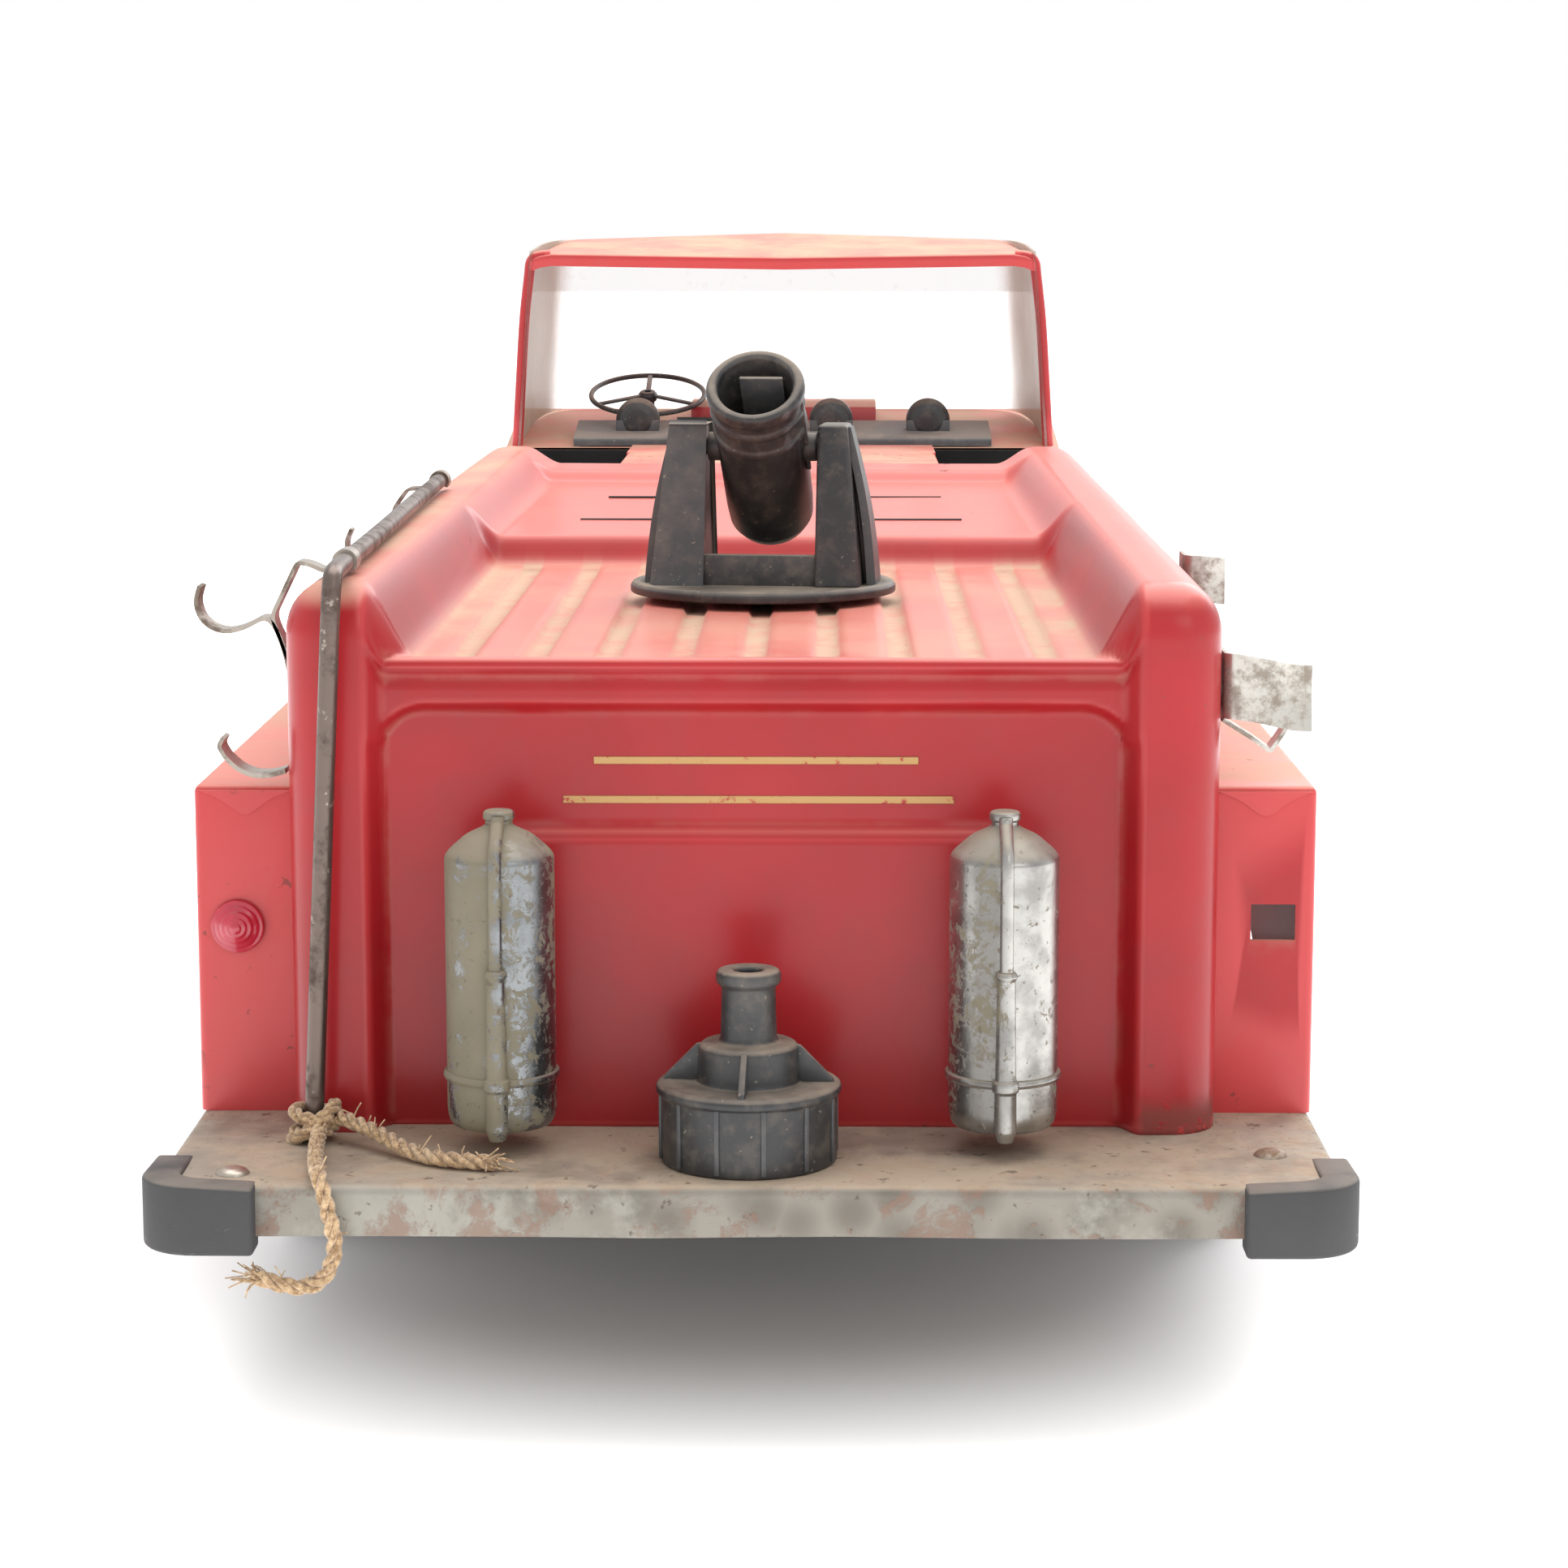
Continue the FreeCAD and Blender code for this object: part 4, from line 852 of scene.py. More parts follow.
def fenderBox(name, node, low, soft, side, along):
    x, y, z = spanOf(node)
    bm = bmesh.new()
    openBox(bm, x, y, (low, z[1]), soft, fenderSizes["skin"], ((-side, 0, 0), (0, 0, -1)))
    piece = newPiece(name, bm, paint, stand=(node,), recalc=False)
    carve(piece, archCutter(side, along))
    return piece


def sidePanel(side, label):  # the fender's outer skin with its locker doors
    s = fenderSizes
    x, y, z = spanOf(f"side_panel_{label}")
    bm = bmesh.new()
    addBlock(bm, x, y, z, 0.35, 2)
    panel = newPiece(f"sidePanel{label.title()}", bm, paint, stand=(f"side_panel_{label}",))
    carve(panel, archCutter(side, s["rearWheel"]))
    doors, handles = bmesh.new(), bmesh.new()
    face = x[1] if side > 0 else x[0]
    for start, width, bottom in s["doors"]:
        end, middle = start + width, (bottom + s["doorTop"]) / 2
        addBlock(doors, sorted((face, face + side * 0.55)), (start, end), (bottom, s["doorTop"]), 0.5, 3)
        grip = sorted((face + side * 0.4, face + side * 1.4))
        addBlock(handles, grip, (end - 9, end - 4), (middle - 0.8, middle + 0.8), 0.35, 2)
    newPiece(f"lockerDoors{label.title()}", doors, paint)
    newPiece(f"lockerHandles{label.title()}", handles, brightPanel)


def fenders():
    s = fenderSizes
    for side, label in sides:
        piece = fenderBox(f"fender{label.title()}", f"fender_{label}", 0, s["soft"], side, s["rearWheel"])
        x, (back, _), _ = spanOf(f"fender_{label}")
        if side > 0:  # the lamp is gone and leaves its square hole
            hole = bmesh.new()
            addBlock(hole, s["lampHole"][0], (back - 3, back + 5), s["lampHole"][1])
        else:
            hole = drum(spot(lensSizes["x"], back, lensSizes["rise"]), "X", 4.1, 8, 32)
        carve(piece, hole)
        flap = bmesh.new()  # the top sheet's folded tongue, hanging over the rear face
        middle, top, half = sum(x) / 2, s["top"], s["tongueHalf"]
        corners = [(middle + half * a, top - drop) for a, drop in
                   ((-1, 1.0), (-0.55, 2.6), (0, s["lip"]), (0.55, 2.6), (1, 1.0))]
        flap.faces.new([flap.verts.new(spot(a, back - 0.35, b)) for a, b in eased(corners, 2.2, 4)])
        flap.normal_update()
        plate(flap, 0.7)
        newPiece(f"fenderTongue{label.title()}", flap, paint)
        sidePanel(side, label)
        fenderBox(f"frontFender{label.title()}", f"front_fender_{label}", 0, 3.0, side, s["frontWheel"])


lensSizes = {"x": -102.7, "rise": 37.7, "front": 60.6}


def tailLamp():
    s = lensSizes
    place = Matrix.Translation(spot(s["x"], s["front"], s["rise"])) @ Matrix.Rotation(math.pi / 2, 4, "X")
    bm = bmesh.new()
    outline = [(0, 3.3), (0.9, 3.1), (1.1, 2.8), (1.9, 2.75), (2.2, 2.35), (3.0, 2.2), (3.3, 1.7), (4.1, 1.4),
               (4.4, 1.0),
               (5.2, 0.9), (5.35, 0.3), (5.3, -0.3), (0, -0.3)]
    addLathe(bm, outline, place, 48, 0.2, 2)
    newPiece("tailLensDome", bm, lens, stand=("tail_lens_left",), sharp=50)
    bm = bmesh.new()
    addLathe(bm, [(3.6, 0), (3.6, -5), (0, -5)], place, 24, 0)
    newPiece("tailLensStem", bm, lens)


fenders()
tailLamp()
print("fenders made")


# rear step with its rubber corners and rivets

stepSizes = {"half": 111, "back": 4, "front": 80, "lip": 9.6, "soft": 2.0, "skin": 1.0}
cornerSizes = {"outer": 113.5, "inner": 106.2, "end": 91.5, "back": 0, "armBack": 7.6, "armSide": 26,
               "low": -12.5, "high": 0.9}


def rearStep():
    s = stepSizes
    bm = bmesh.new()
    openBox(bm, (-s["half"], s["half"]), (s["back"], s["front"]), (-s["lip"], 0), s["soft"], s["skin"],
            ((0, 0, -1), (0, 1, 0)))
    bmesh.ops.subdivide_edges(bm, edges=[e for e in bm.edges if e.calc_length() > 60 * mm], cuts=11,
                              use_grid_fill=True)
    for vert in bm.verts:
        wave = noise.noise(Vector((vert.co.x, 0, 0)) * 24) * 0.35 + noise.noise(vert.co * 60) * 0.12
        vert.co.z += wave * mm * (1 if riseOf(vert.co.z) < -1.5 else 0.35)
    newPiece("stepPlate", bm, galvanised, stand=("rear_step",), recalc=False)
    bm = bmesh.new()
    for x, along in ((-97, 13), (99, 28)):
        place = Matrix.Translation(spot(x, along, 0))
        addLathe(bm, [(0, 1.25), (1.7, 1.15), (2.7, 0.7), (3.25, 0.1), (3.25, -0.4), (0, -0.4)], place, 32,
                 0.3, 2)
    newPiece("stepRivets", bm, tarnished("rivetSteel", (0.42, 0.38, 0.32), (0.20, 0.12, 0.07)),
             stand=("step_rivets",))


def uprights(bm, point):  # the upright edges that stand on a point of the plan
    return [e for e in bm.edges if abs((e.verts[0].co - e.verts[1].co).normalized().z) > 0.9
            and all((v.co.xy - point).length < 1e-4 for v in e.verts)]


def stepCorners():
    s = cornerSizes
    outline = [(s["end"], s["back"]), (s["outer"], s["back"]), (s["outer"], s["armSide"]),
               (s["inner"], s["armSide"]),
               (s["inner"], s["armBack"]), (s["end"], s["armBack"])]
    for side, label in sides:
        bm = bmesh.new()
        addSlab(bm, [spot(side * x, along, s["low"]) for x, along in outline], (0, 0, s["high"] - s["low"]))
        bmesh.ops.recalc_face_normals(bm, faces=bm.faces)
        outside = spot(side * s["outer"], s["back"], 0).xy
        roundEdges(bm, uprights(bm, outside), 11, 10)
        roundEdges(bm, uprights(bm, spot(side * s["inner"], s["armBack"], 0).xy), 4, 6)
        roundEdges(bm, [e for e in bm.edges if len(e.link_faces) == 2 and e.calc_face_angle(0) > 0.6], 0.9, 3,
                   True)
        for vert in bm.verts:  # the top sags towards the ends
            if riseOf(vert.co.z) > -6:
                vert.co.z -= 0.7 * ease((vert.co.xy - outside).length / mm, 8, 24) * mm
        newPiece(f"rubberCorner{label.title()}", bm, rubber, stand=(f"step_corner_{label}",),
                 recalc=False)


rearStep()
stepCorners()
print("step made")


# extinguishers, with strap, hose and nozzle

bottleSizes = {"radius": 10.45, "x": 48, "along": 32.2, "foot": 5.0, "band": 10.0, "collar": 31.2}


def extinguishers():
    s = bottleSizes
    r, band, collar = s["radius"], s["band"], s["collar"]
    for side, label, metal in ((-1, "left", chromeLeft), (1, "right", chromeRight)):
        place = Matrix.Translation(spot(side * s["x"], s["along"], s["foot"]))
        bm = bmesh.new()
        outline = [(0, 0.6), (r - 2.2, 0.6), (r - 1.2, 0), (r - 0.35, 1.2), (r, 3.0), (r, 52.2),
                   (r - 0.9, 53.4), (6.4, 56.2),
                   (3.4, 57.6), (2.6, 58.2), (2.6, 59.0), (3.0, 59.3), (3.0, 60.4), (2.5, 60.9), (0, 61)]
        addLathe(bm, outline, place, 64, 1.0, 5)
        newPiece(f"bottle{label.title()}", bm, metal, stand=(f"extinguisher_{label}",),
                 sharp=55)
        bm = bmesh.new()
        ring = [(r - 0.2, band - 0.9), (r + 0.5, band - 0.7), (r + 0.75, band), (r + 0.5, band + 0.7),
                (r - 0.2, band + 0.9)]
        addLathe(bm, ring, place, 64, 0.15, 2)
        newPiece(f"bottleBand{label.title()}", bm, metal, stand=("extinguisher_bands",) if side < 0 else (),
                 sharp=55)
        x, front = side * s["x"], s["along"] - r
        line = [(3.2, 60.0), (3.4, 58.6), (5.0, 57.6), (7.6, 56.2), (10.0, 54.2), (10.8, 51.5), (10.9, 46),
                (10.9, collar)]
        bm = tubeMesh("hose", [spot(x, s["along"] - reach, s["foot"] + rise) for reach, rise in line], 1.3)
        tip = Matrix.Translation(spot(x, front - 0.6, s["foot"]))
        nozzle = [(0, collar + 1.0), (1.7, collar + 0.8), (2.25, collar), (1.7, collar - 1.0),
                  (1.75, collar - 1.6), (2.0, band + 1.2),
                  (2.5, band + 0.9), (2.6, band - 0.9), (2.1, band - 1.3), (2.15, 1.2), (1.5, -0.8),
                  (0, -1.1)]
        addLathe(bm, nozzle, tip, 28, 0.25, 2)
        newPiece(f"bottleHose{label.title()}", bm, metal, stand=("extinguisher_hoses",) if side < 0 else (),
                 sharp=55)


extinguishers()


# garden-hose adapter on its peg

adapterSizes = {"x": -0.5, "along": 25, "cap": 16.9, "rim": 17.6, "shoulder": 9.65, "nipple": 5.35,
                "bore": 2.6, "grips": 12}


def hoseAdapter():
    s = adapterSizes
    place = Matrix.Translation(spot(s["x"], s["along"], 0.05))
    bm = bmesh.new()
    cap, rim, shoulder, nipple = s["cap"], s["rim"], s["shoulder"], s["nipple"]
    outline = [(cap - 2, 0.0), (cap - 0.15, 0.0), (cap, 12.9), (rim, 13.4), (rim, 14.6), (cap - 0.4, 15.3),
               (shoulder + 0.4, 15.2),
               (shoulder, 16.0), (shoulder - 0.1, 21.9), (shoulder - 1.0, 22.7), (nipple + 0.6, 22.8),
               (nipple, 23.6), (nipple - 0.25, 33.4),
               (6.15, 34.3), (6.15, 36.0), (5.6, 36.7), (3.2, 36.7), (s["bore"], 36.1), (s["bore"], 12.5),
               (cap - 2, 12.5), (cap - 2, 0.0)]
    addLathe(bm, outline, place, 72, 0.45, 3)
    for i in range(4):  # webs between the cap and the nipple
        known = set(bm.verts)
        web = [(8.6, 14.9), (16.4, 14.9), (16.0, 16.0), (9.9, 22.2), (8.6, 22.4)]
        addSlab(bm, [(reach * mm, -0.65 * mm, rise * mm) for reach, rise in web], (0, 1.3, 0))
        soften(bm, [v for v in bm.verts if v not in known], 0.3, 2)
        placed(bm, known, place @ Matrix.Rotation(math.radians(90 * i - 4), 4, "Z"))
    for i in range(s["grips"]):
        turn = Matrix.Rotation(math.tau * (i + 0.35) / s["grips"], 4, "Z")
        addBar(bm, (cap, 0, 6.9), (0.7, 1.0, 12.4), 0.22, 2, place @ turn)
    newPiece("adapterMoulding", bm, black, "adapter", ("hose_adapter",), sharp=40)


hoseAdapter()
polished("adapter_peg", chassisBlack)
print("rear fittings made")


# water cannon: turntable with posts, and the barrel between them

yaw = math.radians(-6.5)
elevation = math.radians(46)
cannonSizes = {"along": 166, "base": 93.7, "disc": 29.7, "pivot": 126.0, "barrel": 10.0, "bore": 8.3,
               "lip": 10.9, "below": 26}


# foot and head: inner edge, outer edge, half depth
def taperedPost(label, side, foot, head, rises, turn, bow=0.0):
    bm = bmesh.new()
    bmesh.ops.create_cube(bm, size=2)
    for vert in bm.verts:
        inner, outer, deep = head if vert.co.z > 0 else foot
        x = inner if vert.co.x < 0 else outer
        vert.co = Vector((side * x, deep if vert.co.y > 0 else -deep,
                          rises[1] if vert.co.z > 0 else rises[0])) * mm
    if bow:
        tall = [e for e in bm.edges if abs(e.verts[0].co.z - e.verts[1].co.z) > 10 * mm]
        bmesh.ops.subdivide_edges(bm, edges=tall, cuts=9, use_grid_fill=True)
        for vert in bm.verts:
            share = (vert.co.z / mm - rises[0]) / (rises[1] - rises[0])
            vert.co.x += side * bow * math.sin(math.pi * share) * mm
    else:
        roundEdges(bm, bm.edges, 0.9, 4)
    bmesh.ops.transform(bm, matrix=turn, verts=bm.verts)
    newPiece(label, bm, black, "turret")


def cannonYoke():
    s = cannonSizes
    turn = Matrix.Translation(spot(0, s["along"], s["base"])) @ Matrix.Rotation(yaw, 4, "Z")
    bm = bmesh.new()
    r = s["disc"]
    addLathe(bm, [(0, 2.1), (r - 3.2, 2.1), (r - 2.2, 2.6), (r - 0.7, 2.5), (r, 1.6), (r, 0.2), (r - 0.6, 0),
                  (0, 0)], turn, 96, 0.35, 3)
    newPiece("cannonTurntable", bm, black, "turret", ("cannon_yoke",))
    foot, top = 1.8, s["pivot"] + 5.2 - s["base"]
    for side, label in ((-1, "Left"), (1, "Right")):
        taperedPost("yokePost" + label, side, (12.8, 23.0, 12.0), (12.8, 19.4, 5.6), (foot, top), turn)
        taperedPost("yokeFin" + label, side, (24.0, 26.0, 6.0), (18.4, 20.0, 3.2), (foot, top - 0.6), turn,
                    1.0)
        taperedPost("yokeWeb" + label, side, (19.0, 25.2, 1.4), (18.0, 19.2, 1.4), (foot, top - 1.2), turn)
    for label, y, rise in (("yokeBarRear", -8.8, 9.0), ("yokeBarFront", 10.4, 6.6)):
        bm = bmesh.new()
        addBar(bm, (0, y, (foot + rise) / 2), (28, 1.8, rise - foot), 0.5, 3, turn)
        newPiece(label, bm, blackDusty, "turret")
    bm = bmesh.new()  # the stem below the turntable
    addLathe(bm, [(0, 0.4), (4, 0.4), (4, -2.4), (0, -2.4)], turn, 32, 0)
    newPiece("swivelStem", bm, black, "turret")


def cannonBarrel():
    s = cannonSizes
    aim = (Matrix.Translation(spot(0, s["along"], s["pivot"])) @ Matrix.Rotation(yaw, 4, "Z")
           @ Matrix.Rotation(math.pi / 2 - elevation, 4, "X"))
    place = aim @ Matrix.Translation((0, 0, -s["below"] * mm))
    r, bore, lip = s["barrel"], s["bore"], s["lip"]
    outline = [(0, 0), (4.5, 0.2), (8.0, 1.6), (9.5, 4.4), (9.8, 9), (r, 32.6), (r + 0.55, 33.1),
               (r + 0.55, 34.4), (r, 35), (r, 38.2),
               (r + 0.55, 38.8), (r + 0.55, 40.0), (r + 0.05, 40.6), (r + 0.3, 42.2), (lip, 43.4),
               (lip, 45.2), (lip - 0.7, 46), (bore + 0.7, 46),
               (bore, 45.3), (bore - 0.5, 10), (0, 9.6)]
    bm = bmesh.new()
    addLathe(bm, outline, place, 80, 0.4, 3)
    newPiece("barrelTube", bm, black, "barrel", ("cannon_barrel",), sharp=50)
    bm = bmesh.new()
    side = aim @ Matrix.Rotation(math.pi / 2, 4, "Y")
    for radius, near, far in ((1.8, 8.6, 18.9), (3.2, 9.2, 12.2)):  # pins and their collars
        for way in (-1, 1):
            outline = [(0, way * far), (radius, way * far), (radius, way * near), (0, way * near)]
            addLathe(bm, outline, side, 24 if radius < 2 else 32, 0.3, 2)
    newPiece("trunnions", bm, black, "barrel", ("trunnion_pins",))
    bm = bmesh.new()
    addBar(bm, (0.9, 3.4, 0.6), (9.6, 0.9, 36), 0.25, 2, aim)
    newPiece("boreTab", bm, blackDusty, "barrel", ("nozzle_tab",), recalc=False)
    bm = bmesh.new()  # mould rib down the barrel's right side
    addBar(bm, (9.9, -1.5, 6), (1.3, 1.0, 23), 0.3, 2, aim)
    newPiece("barrelRib", bm, blackDusty, "barrel", recalc=False)


cannonYoke()
cannonBarrel()
polished("swivel_nut", axleSteel)
print("cannon made")


# grab rail, its clips, and the hooks of strip steel

rodSizes = {"foot": -85.2, "shoulder": -79.6, "tip": -83.8, "along": 37.5, "rise": 110.3, "front": 280,
            "radius": 1.9}


def rodPlace(along):  # the rail's own X at a distance along
    s = rodSizes
    return s["shoulder"] + (s["tip"] - s["shoulder"]) * (along - s["along"]) / (s["front"] - s["along"])


def grabRail():
    s = rodSizes
    lean = [(s["foot"] + (s["shoulder"] - s["foot"]) * share, s["along"] + wobble, s["rise"] * share)
            for share, wobble in
            ((0.001, 0), (0.28, -0.1), (0.55, 0.15), (0.80, 0), (0.93, 0.05), (0.985, 0.8))]
    run = [(rodPlace(along) + wobble, along, s["rise"] - sag) for along, wobble, sag in
           ((40.5, 0, 0.3), (46, 0, 0.0), (62, 0, 0), (120, 0.2, 0.1), (200, -0.2, 0.1), (s["front"], 0, 0))]
    bm = tubeMesh("grabRailRod", [spot(*point) for point in lean + run], s["radius"])
    newPiece("grabRailRod", bm, rodSteel, stand=("grab_rail",), sharp=50)


hookSizes = {"near": 63, "far": 275, "width": 6, "loop": 2.55, "steel": 0.8}


# from the loop's free end, over the rail, out along the arm and down the leg
def clipOutline(along, arm, leg):
    x, rise = rodPlace(along), rodSizes["rise"]
    loop = [(x + hookSizes["loop"] * math.cos(a), rise + hookSizes["loop"] * math.sin(a))
            for a in [math.radians(-40 + 20 * i) for i in range(12)]]
    return loop + arm + leg


def railClips():
    s = hookSizes
    bm = bmesh.new()
    near = clipOutline(s["near"], [(-83.9, 108.8), (-87.0, 110.2), (-89.6, 110.6)],
                       [(-95.0, 99.6), (-92.6, 92.6), (-91.2, 86)])
    addStrip(bm, near, s["near"], s["width"], s["steel"], 1.6)
    far = clipOutline(s["far"], [(-87.4, 108.7), (-92.1, 108.6)],
                      [(-95.9, 103.2), (-95.0, 97.0), (-91.3, 90)])
    addStrip(bm, far, s["far"], s["width"], s["steel"], 1.6)
    newPiece("railClips", bm, stripSteel, stand=("rail_clips",), sharp=50)


def hoseHooks():
    s = hookSizes
    hooks = {
        "hoseHookUpper": ([(-109.0, 105.6), (-110.0, 102.4), (-109.0, 99.0), (-106.6, 96.8), (-103.4, 96.0),
                           (-99.8, 96.9), (-95.6, 99.2),
                           (-93.6, 96.0), (-91.8, 90.5)], s["near"], s["width"], "hose_hook_upper"),
        "hoseHookLower": ([(-91.3, 69.6), (-94.0, 68.8), (-97.4, 68.6), (-100.8, 69.9), (-103.6, 72.6),
                           (-104.8, 75.0), (-103.9, 76.7)],
                          56, 7, "hose_hook_lower"),
        "hoseHookFront": ([(-106.6, 98.2), (-108.2, 94.6), (-107.0, 90.6), (-103.4, 88.3), (-99.4, 89.6),
                           (-96.0, 94.6), (-93.2, 92.0)],
                          s["far"], s["width"], "hose_hook_front"),
    }
    for label, (outline, along, width, node) in hooks.items():
        bm = bmesh.new()
        addStrip(bm, outline, along, width, 0.85, 2.4)
        newPiece(label, bm, stripSteel, stand=(node,), sharp=50)


def sideBrackets():
    plates = {
        "sideBracketLower": ([(91.2, 64), (91.3, 53.6), (92.6, 52.3), (98, 52.0), (104, 52.6), (108.6, 54.4)],
                             (80.6, 93.4), "side_bracket_lower", -2.6),
        "sideBracketUpper": ([(91.2, 146), (91.3, 136.4), (92.4, 135.3), (96.5, 135.2), (100.2, 136.0)],
                             (94.6, 104.6), "side_bracket_upper", -1.4),
    }
    for label, (outline, rises, node, droop) in plates.items():
        bm = bmesh.new()
        low, height = rises[0], rises[1] - rises[0]
        addRibbon(bm, [spot(x, along, low) for x, along in eased(outline, 1.5, 4)], (0, 0, height))
        bmesh.ops.subdivide_edges(bm, edges=[e for e in bm.edges if e.calc_length() > 5 * mm], cuts=4)
        for vert in bm.verts:
            reach = ease(vert.co.x / mm, 92, 109)
            vert.co.z += droop * reach * mm
            vert.co.y += 0.9 * math.sin((riseOf(vert.co.z) - low) / height * math.pi) * reach * mm
        bmesh.ops.recalc_face_normals(bm, faces=bm.faces)
        plate(bm, 0.8)
        if node == "side_bracket_lower":
            addStrip(bm, [(105.4, 80.0), (103.2, 76.4), (101.0, 73.2), (97.0, 76.0), (91.3, 79.6)], 59, 6,
                     0.8, 1.0)
        newPiece(label, bm, bracketSteel, stand=(node,), sharp=50)


grabRail()
railClips()
hoseHooks()
sideBrackets()
print("rail and hooks made")


# jute twine: a knot round the rod and two tails

twineSizes = {"radius": 1.6, "strands": 3, "turnEvery": 9.5}
hangingRoute = [(-83.4, 33.0, 3.2), (-82.6, 21, 1.9), (-80.8, 9, 1.9), (-79.4, 2.2, 2.6), (-77.4, 0.6, -4.5),
                (-76.0, 0.9, -11.5), (-79.0, 0.9, -18.0), (-85.2, 0.6, -18.6), (-90.8, 1.6, -16.8)]
lyingRoute = [(-79.8, 36.0, 5.0), (-72.8, 30.0, 4.2), (-64.6, 21.0, 1.9), (-56.5, 15.8, 1.75),
              (-48.0, 14.4, 1.75)]


def splineLine(route, perSpan):  # points read from the route's own spline
    mesh = curveMesh("route", [spot(*point) for point in route], perSpan)
    points = [v.co.copy() for v in mesh.vertices]
    bpy.data.meshes.remove(mesh)
    return points


def strandTube(bm, line, radius, wind, turnEvery, sides=8):  # one strand wound about a line
    frames, travelled = [], 0.0
    normal = Vector((0, 0, 1))
    for i, point in enumerate(line):
        ahead = (line[min(i + 1, len(line) - 1)] - line[max(i - 1, 0)]).normalized()
        normal = (normal - ahead * normal.dot(ahead)).normalized()
        if i:
            travelled += (point - line[i - 1]).length
        turn = wind + math.tau * travelled / (turnEvery * mm)
        across = ahead.cross(normal)
        centre = point + (normal * math.cos(turn) + across * math.sin(turn)) * radius * 0.52
        frames.append((centre, normal, across))
    angles = [math.tau * k / sides for k in range(sides)]
    rings = []
    for centre, up, across in frames:
        reach = radius * 0.50 * (1 + 0.10 * noise.noise(centre * 700))
        rings.append([bm.verts.new(centre + (up * math.cos(a) + across * math.sin(a)) * reach)
                      for a in angles])
    for first, second in zip(rings, rings[1:]):
        pairs = [(ring[k], ring[(k + 1) % sides]) for ring in (first, second) for k in range(sides)]
        bmesh.ops.bridge_loops(bm, edges=[bm.edges.get(pair) or bm.edges.new(pair) for pair in pairs])
    bm.faces.new(rings[0])
    bm.faces.new(rings[-1])


def refined(line, step=0.45):
    out = [line[0]]
    for a, b in zip(line, line[1:]):
        count = max(1, round((b - a).length / (step * mm)))
        out += [a.lerp(b, (i + 1) / count) for i in range(count)]
    return out


def twineTail(name, route, node):
    s = twineSizes
    line = refined(splineLine(route, 14))
    bm = bmesh.new()
    for k in range(s["strands"]):
        strandTube(bm, line, s["radius"] * mm, math.tau * k / s["strands"], s["turnEvery"])
    piece = newPiece(name, bm, jute, stand=(node,), sharp=80)
    length = sum((b - a).length for a, b in zip(line, line[1:]))
    return piece, line, length


def randomVector(*spans):
    return Vector([random.uniform(*span) for span in spans])


def looseFibres(label, ends, seed, count, reach):
    random.seed(seed)
    bm = bmesh.new()
    for point, direction in ends:
        for _ in range(count):
            out = (direction + randomVector((-1, 1), (-1, 1), (-0.7, 0.9)) * 0.55).normalized()
            bend = randomVector((-1, 1), (-1, 1), (-1, 0.6)) * 0.45
            start = point + randomVector((-1, 1), (-1, 1), (-1, 1)) * 0.9 * mm
            length = random.uniform(0.35, 1.0) * reach * mm
            line = [start + out * length * t + bend * length * t * t for t in (0, 0.25, 0.5, 0.75, 1)]
            line = [Vector((p.x, max(p.y, rearEdge - 0.9 * mm), p.z)) for p in line]
            strandTube(bm, line, 0.30 * mm, 0, 1000, 4)
    return newPiece(label, bm, jute, sharp=80)


def knotMesh():
    x, along = rodSizes["foot"] + 0.2, rodSizes["along"]
    bm = bmesh.new()
    for rise, tilt, reach in ((2.3, 0.10, 3.6), (4.9, -0.16, 3.7), (3.6, 0.55, 4.1)):
        angles = [math.tau * i / 40 for i in range(41)]
        turns = [spot(x + reach * math.cos(a), along + reach * math.sin(a), rise + tilt * 6 * math.cos(a))
                 for a in angles]
        for k in range(3):
            strandTube(bm, turns, 1.45 * mm, math.tau * k / 3, 8.5)
    return bm


def twine():
    hang, hangLine, hangLength = twineTail("twineHanging", hangingRoute, "twine_tail_hanging")
    lie, lieLine, lieLength = twineTail("twineLying", lyingRoute, "twine_tail_lying")
    tuft, tuftB = [
        looseFibres(label, [(line[-4], (line[-1] - line[-9]).normalized())], seed, count, reach)
        for label, line, seed, count, reach in (
            ("twineTuftHanging", hangLine, 7, 34, 6.0), ("twineTuftLying", lieLine, 11, 20, 4.0))]
    knot = newPiece("twineKnot", knotMesh(), jute, stand=("twine_knot",), sharp=80)
    fuzz = [(line[i], Vector((0, 0, 1))) for line in (hangLine, lieLine) for i in range(6, len(line) - 6, 9)]
    hairs = looseFibres("twineFuzz", fuzz, 23, 3, 3.2)
    for piece, route, line, length, others in (
            (hang, hangingRoute, hangLine, hangLength, [tuft, knot]), (lie, lyingRoute, lieLine, lieLength,
                                                                       [tuftB, hairs])):
        tuple(spot(*route[0]))
        [tuple(p) for p in line]
        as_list(others)


twine()
print("twine made")


# cab: shell, engine cover, seats, dash, gauges, steering wheel and windshield

screenSizes = {"rear": 550, "front": 612, "rearHalf": 89.0, "frontHalf": 79.4, "low": 100.7, "high": 164.3,
               "tuck": 4.7}


def screenPlan(inset):  # half plan of the screen from the rear post round to the middle of the front
    s = screenSizes
    return [(s["rearHalf"] - inset, s["rear"]), (s["rearHalf"] - 0.9 - inset, s["front"] - 26),
            (s["frontHalf"] - inset * 0.6, s["front"] - inset), (0.0, s["front"] + 1.2 - inset)]


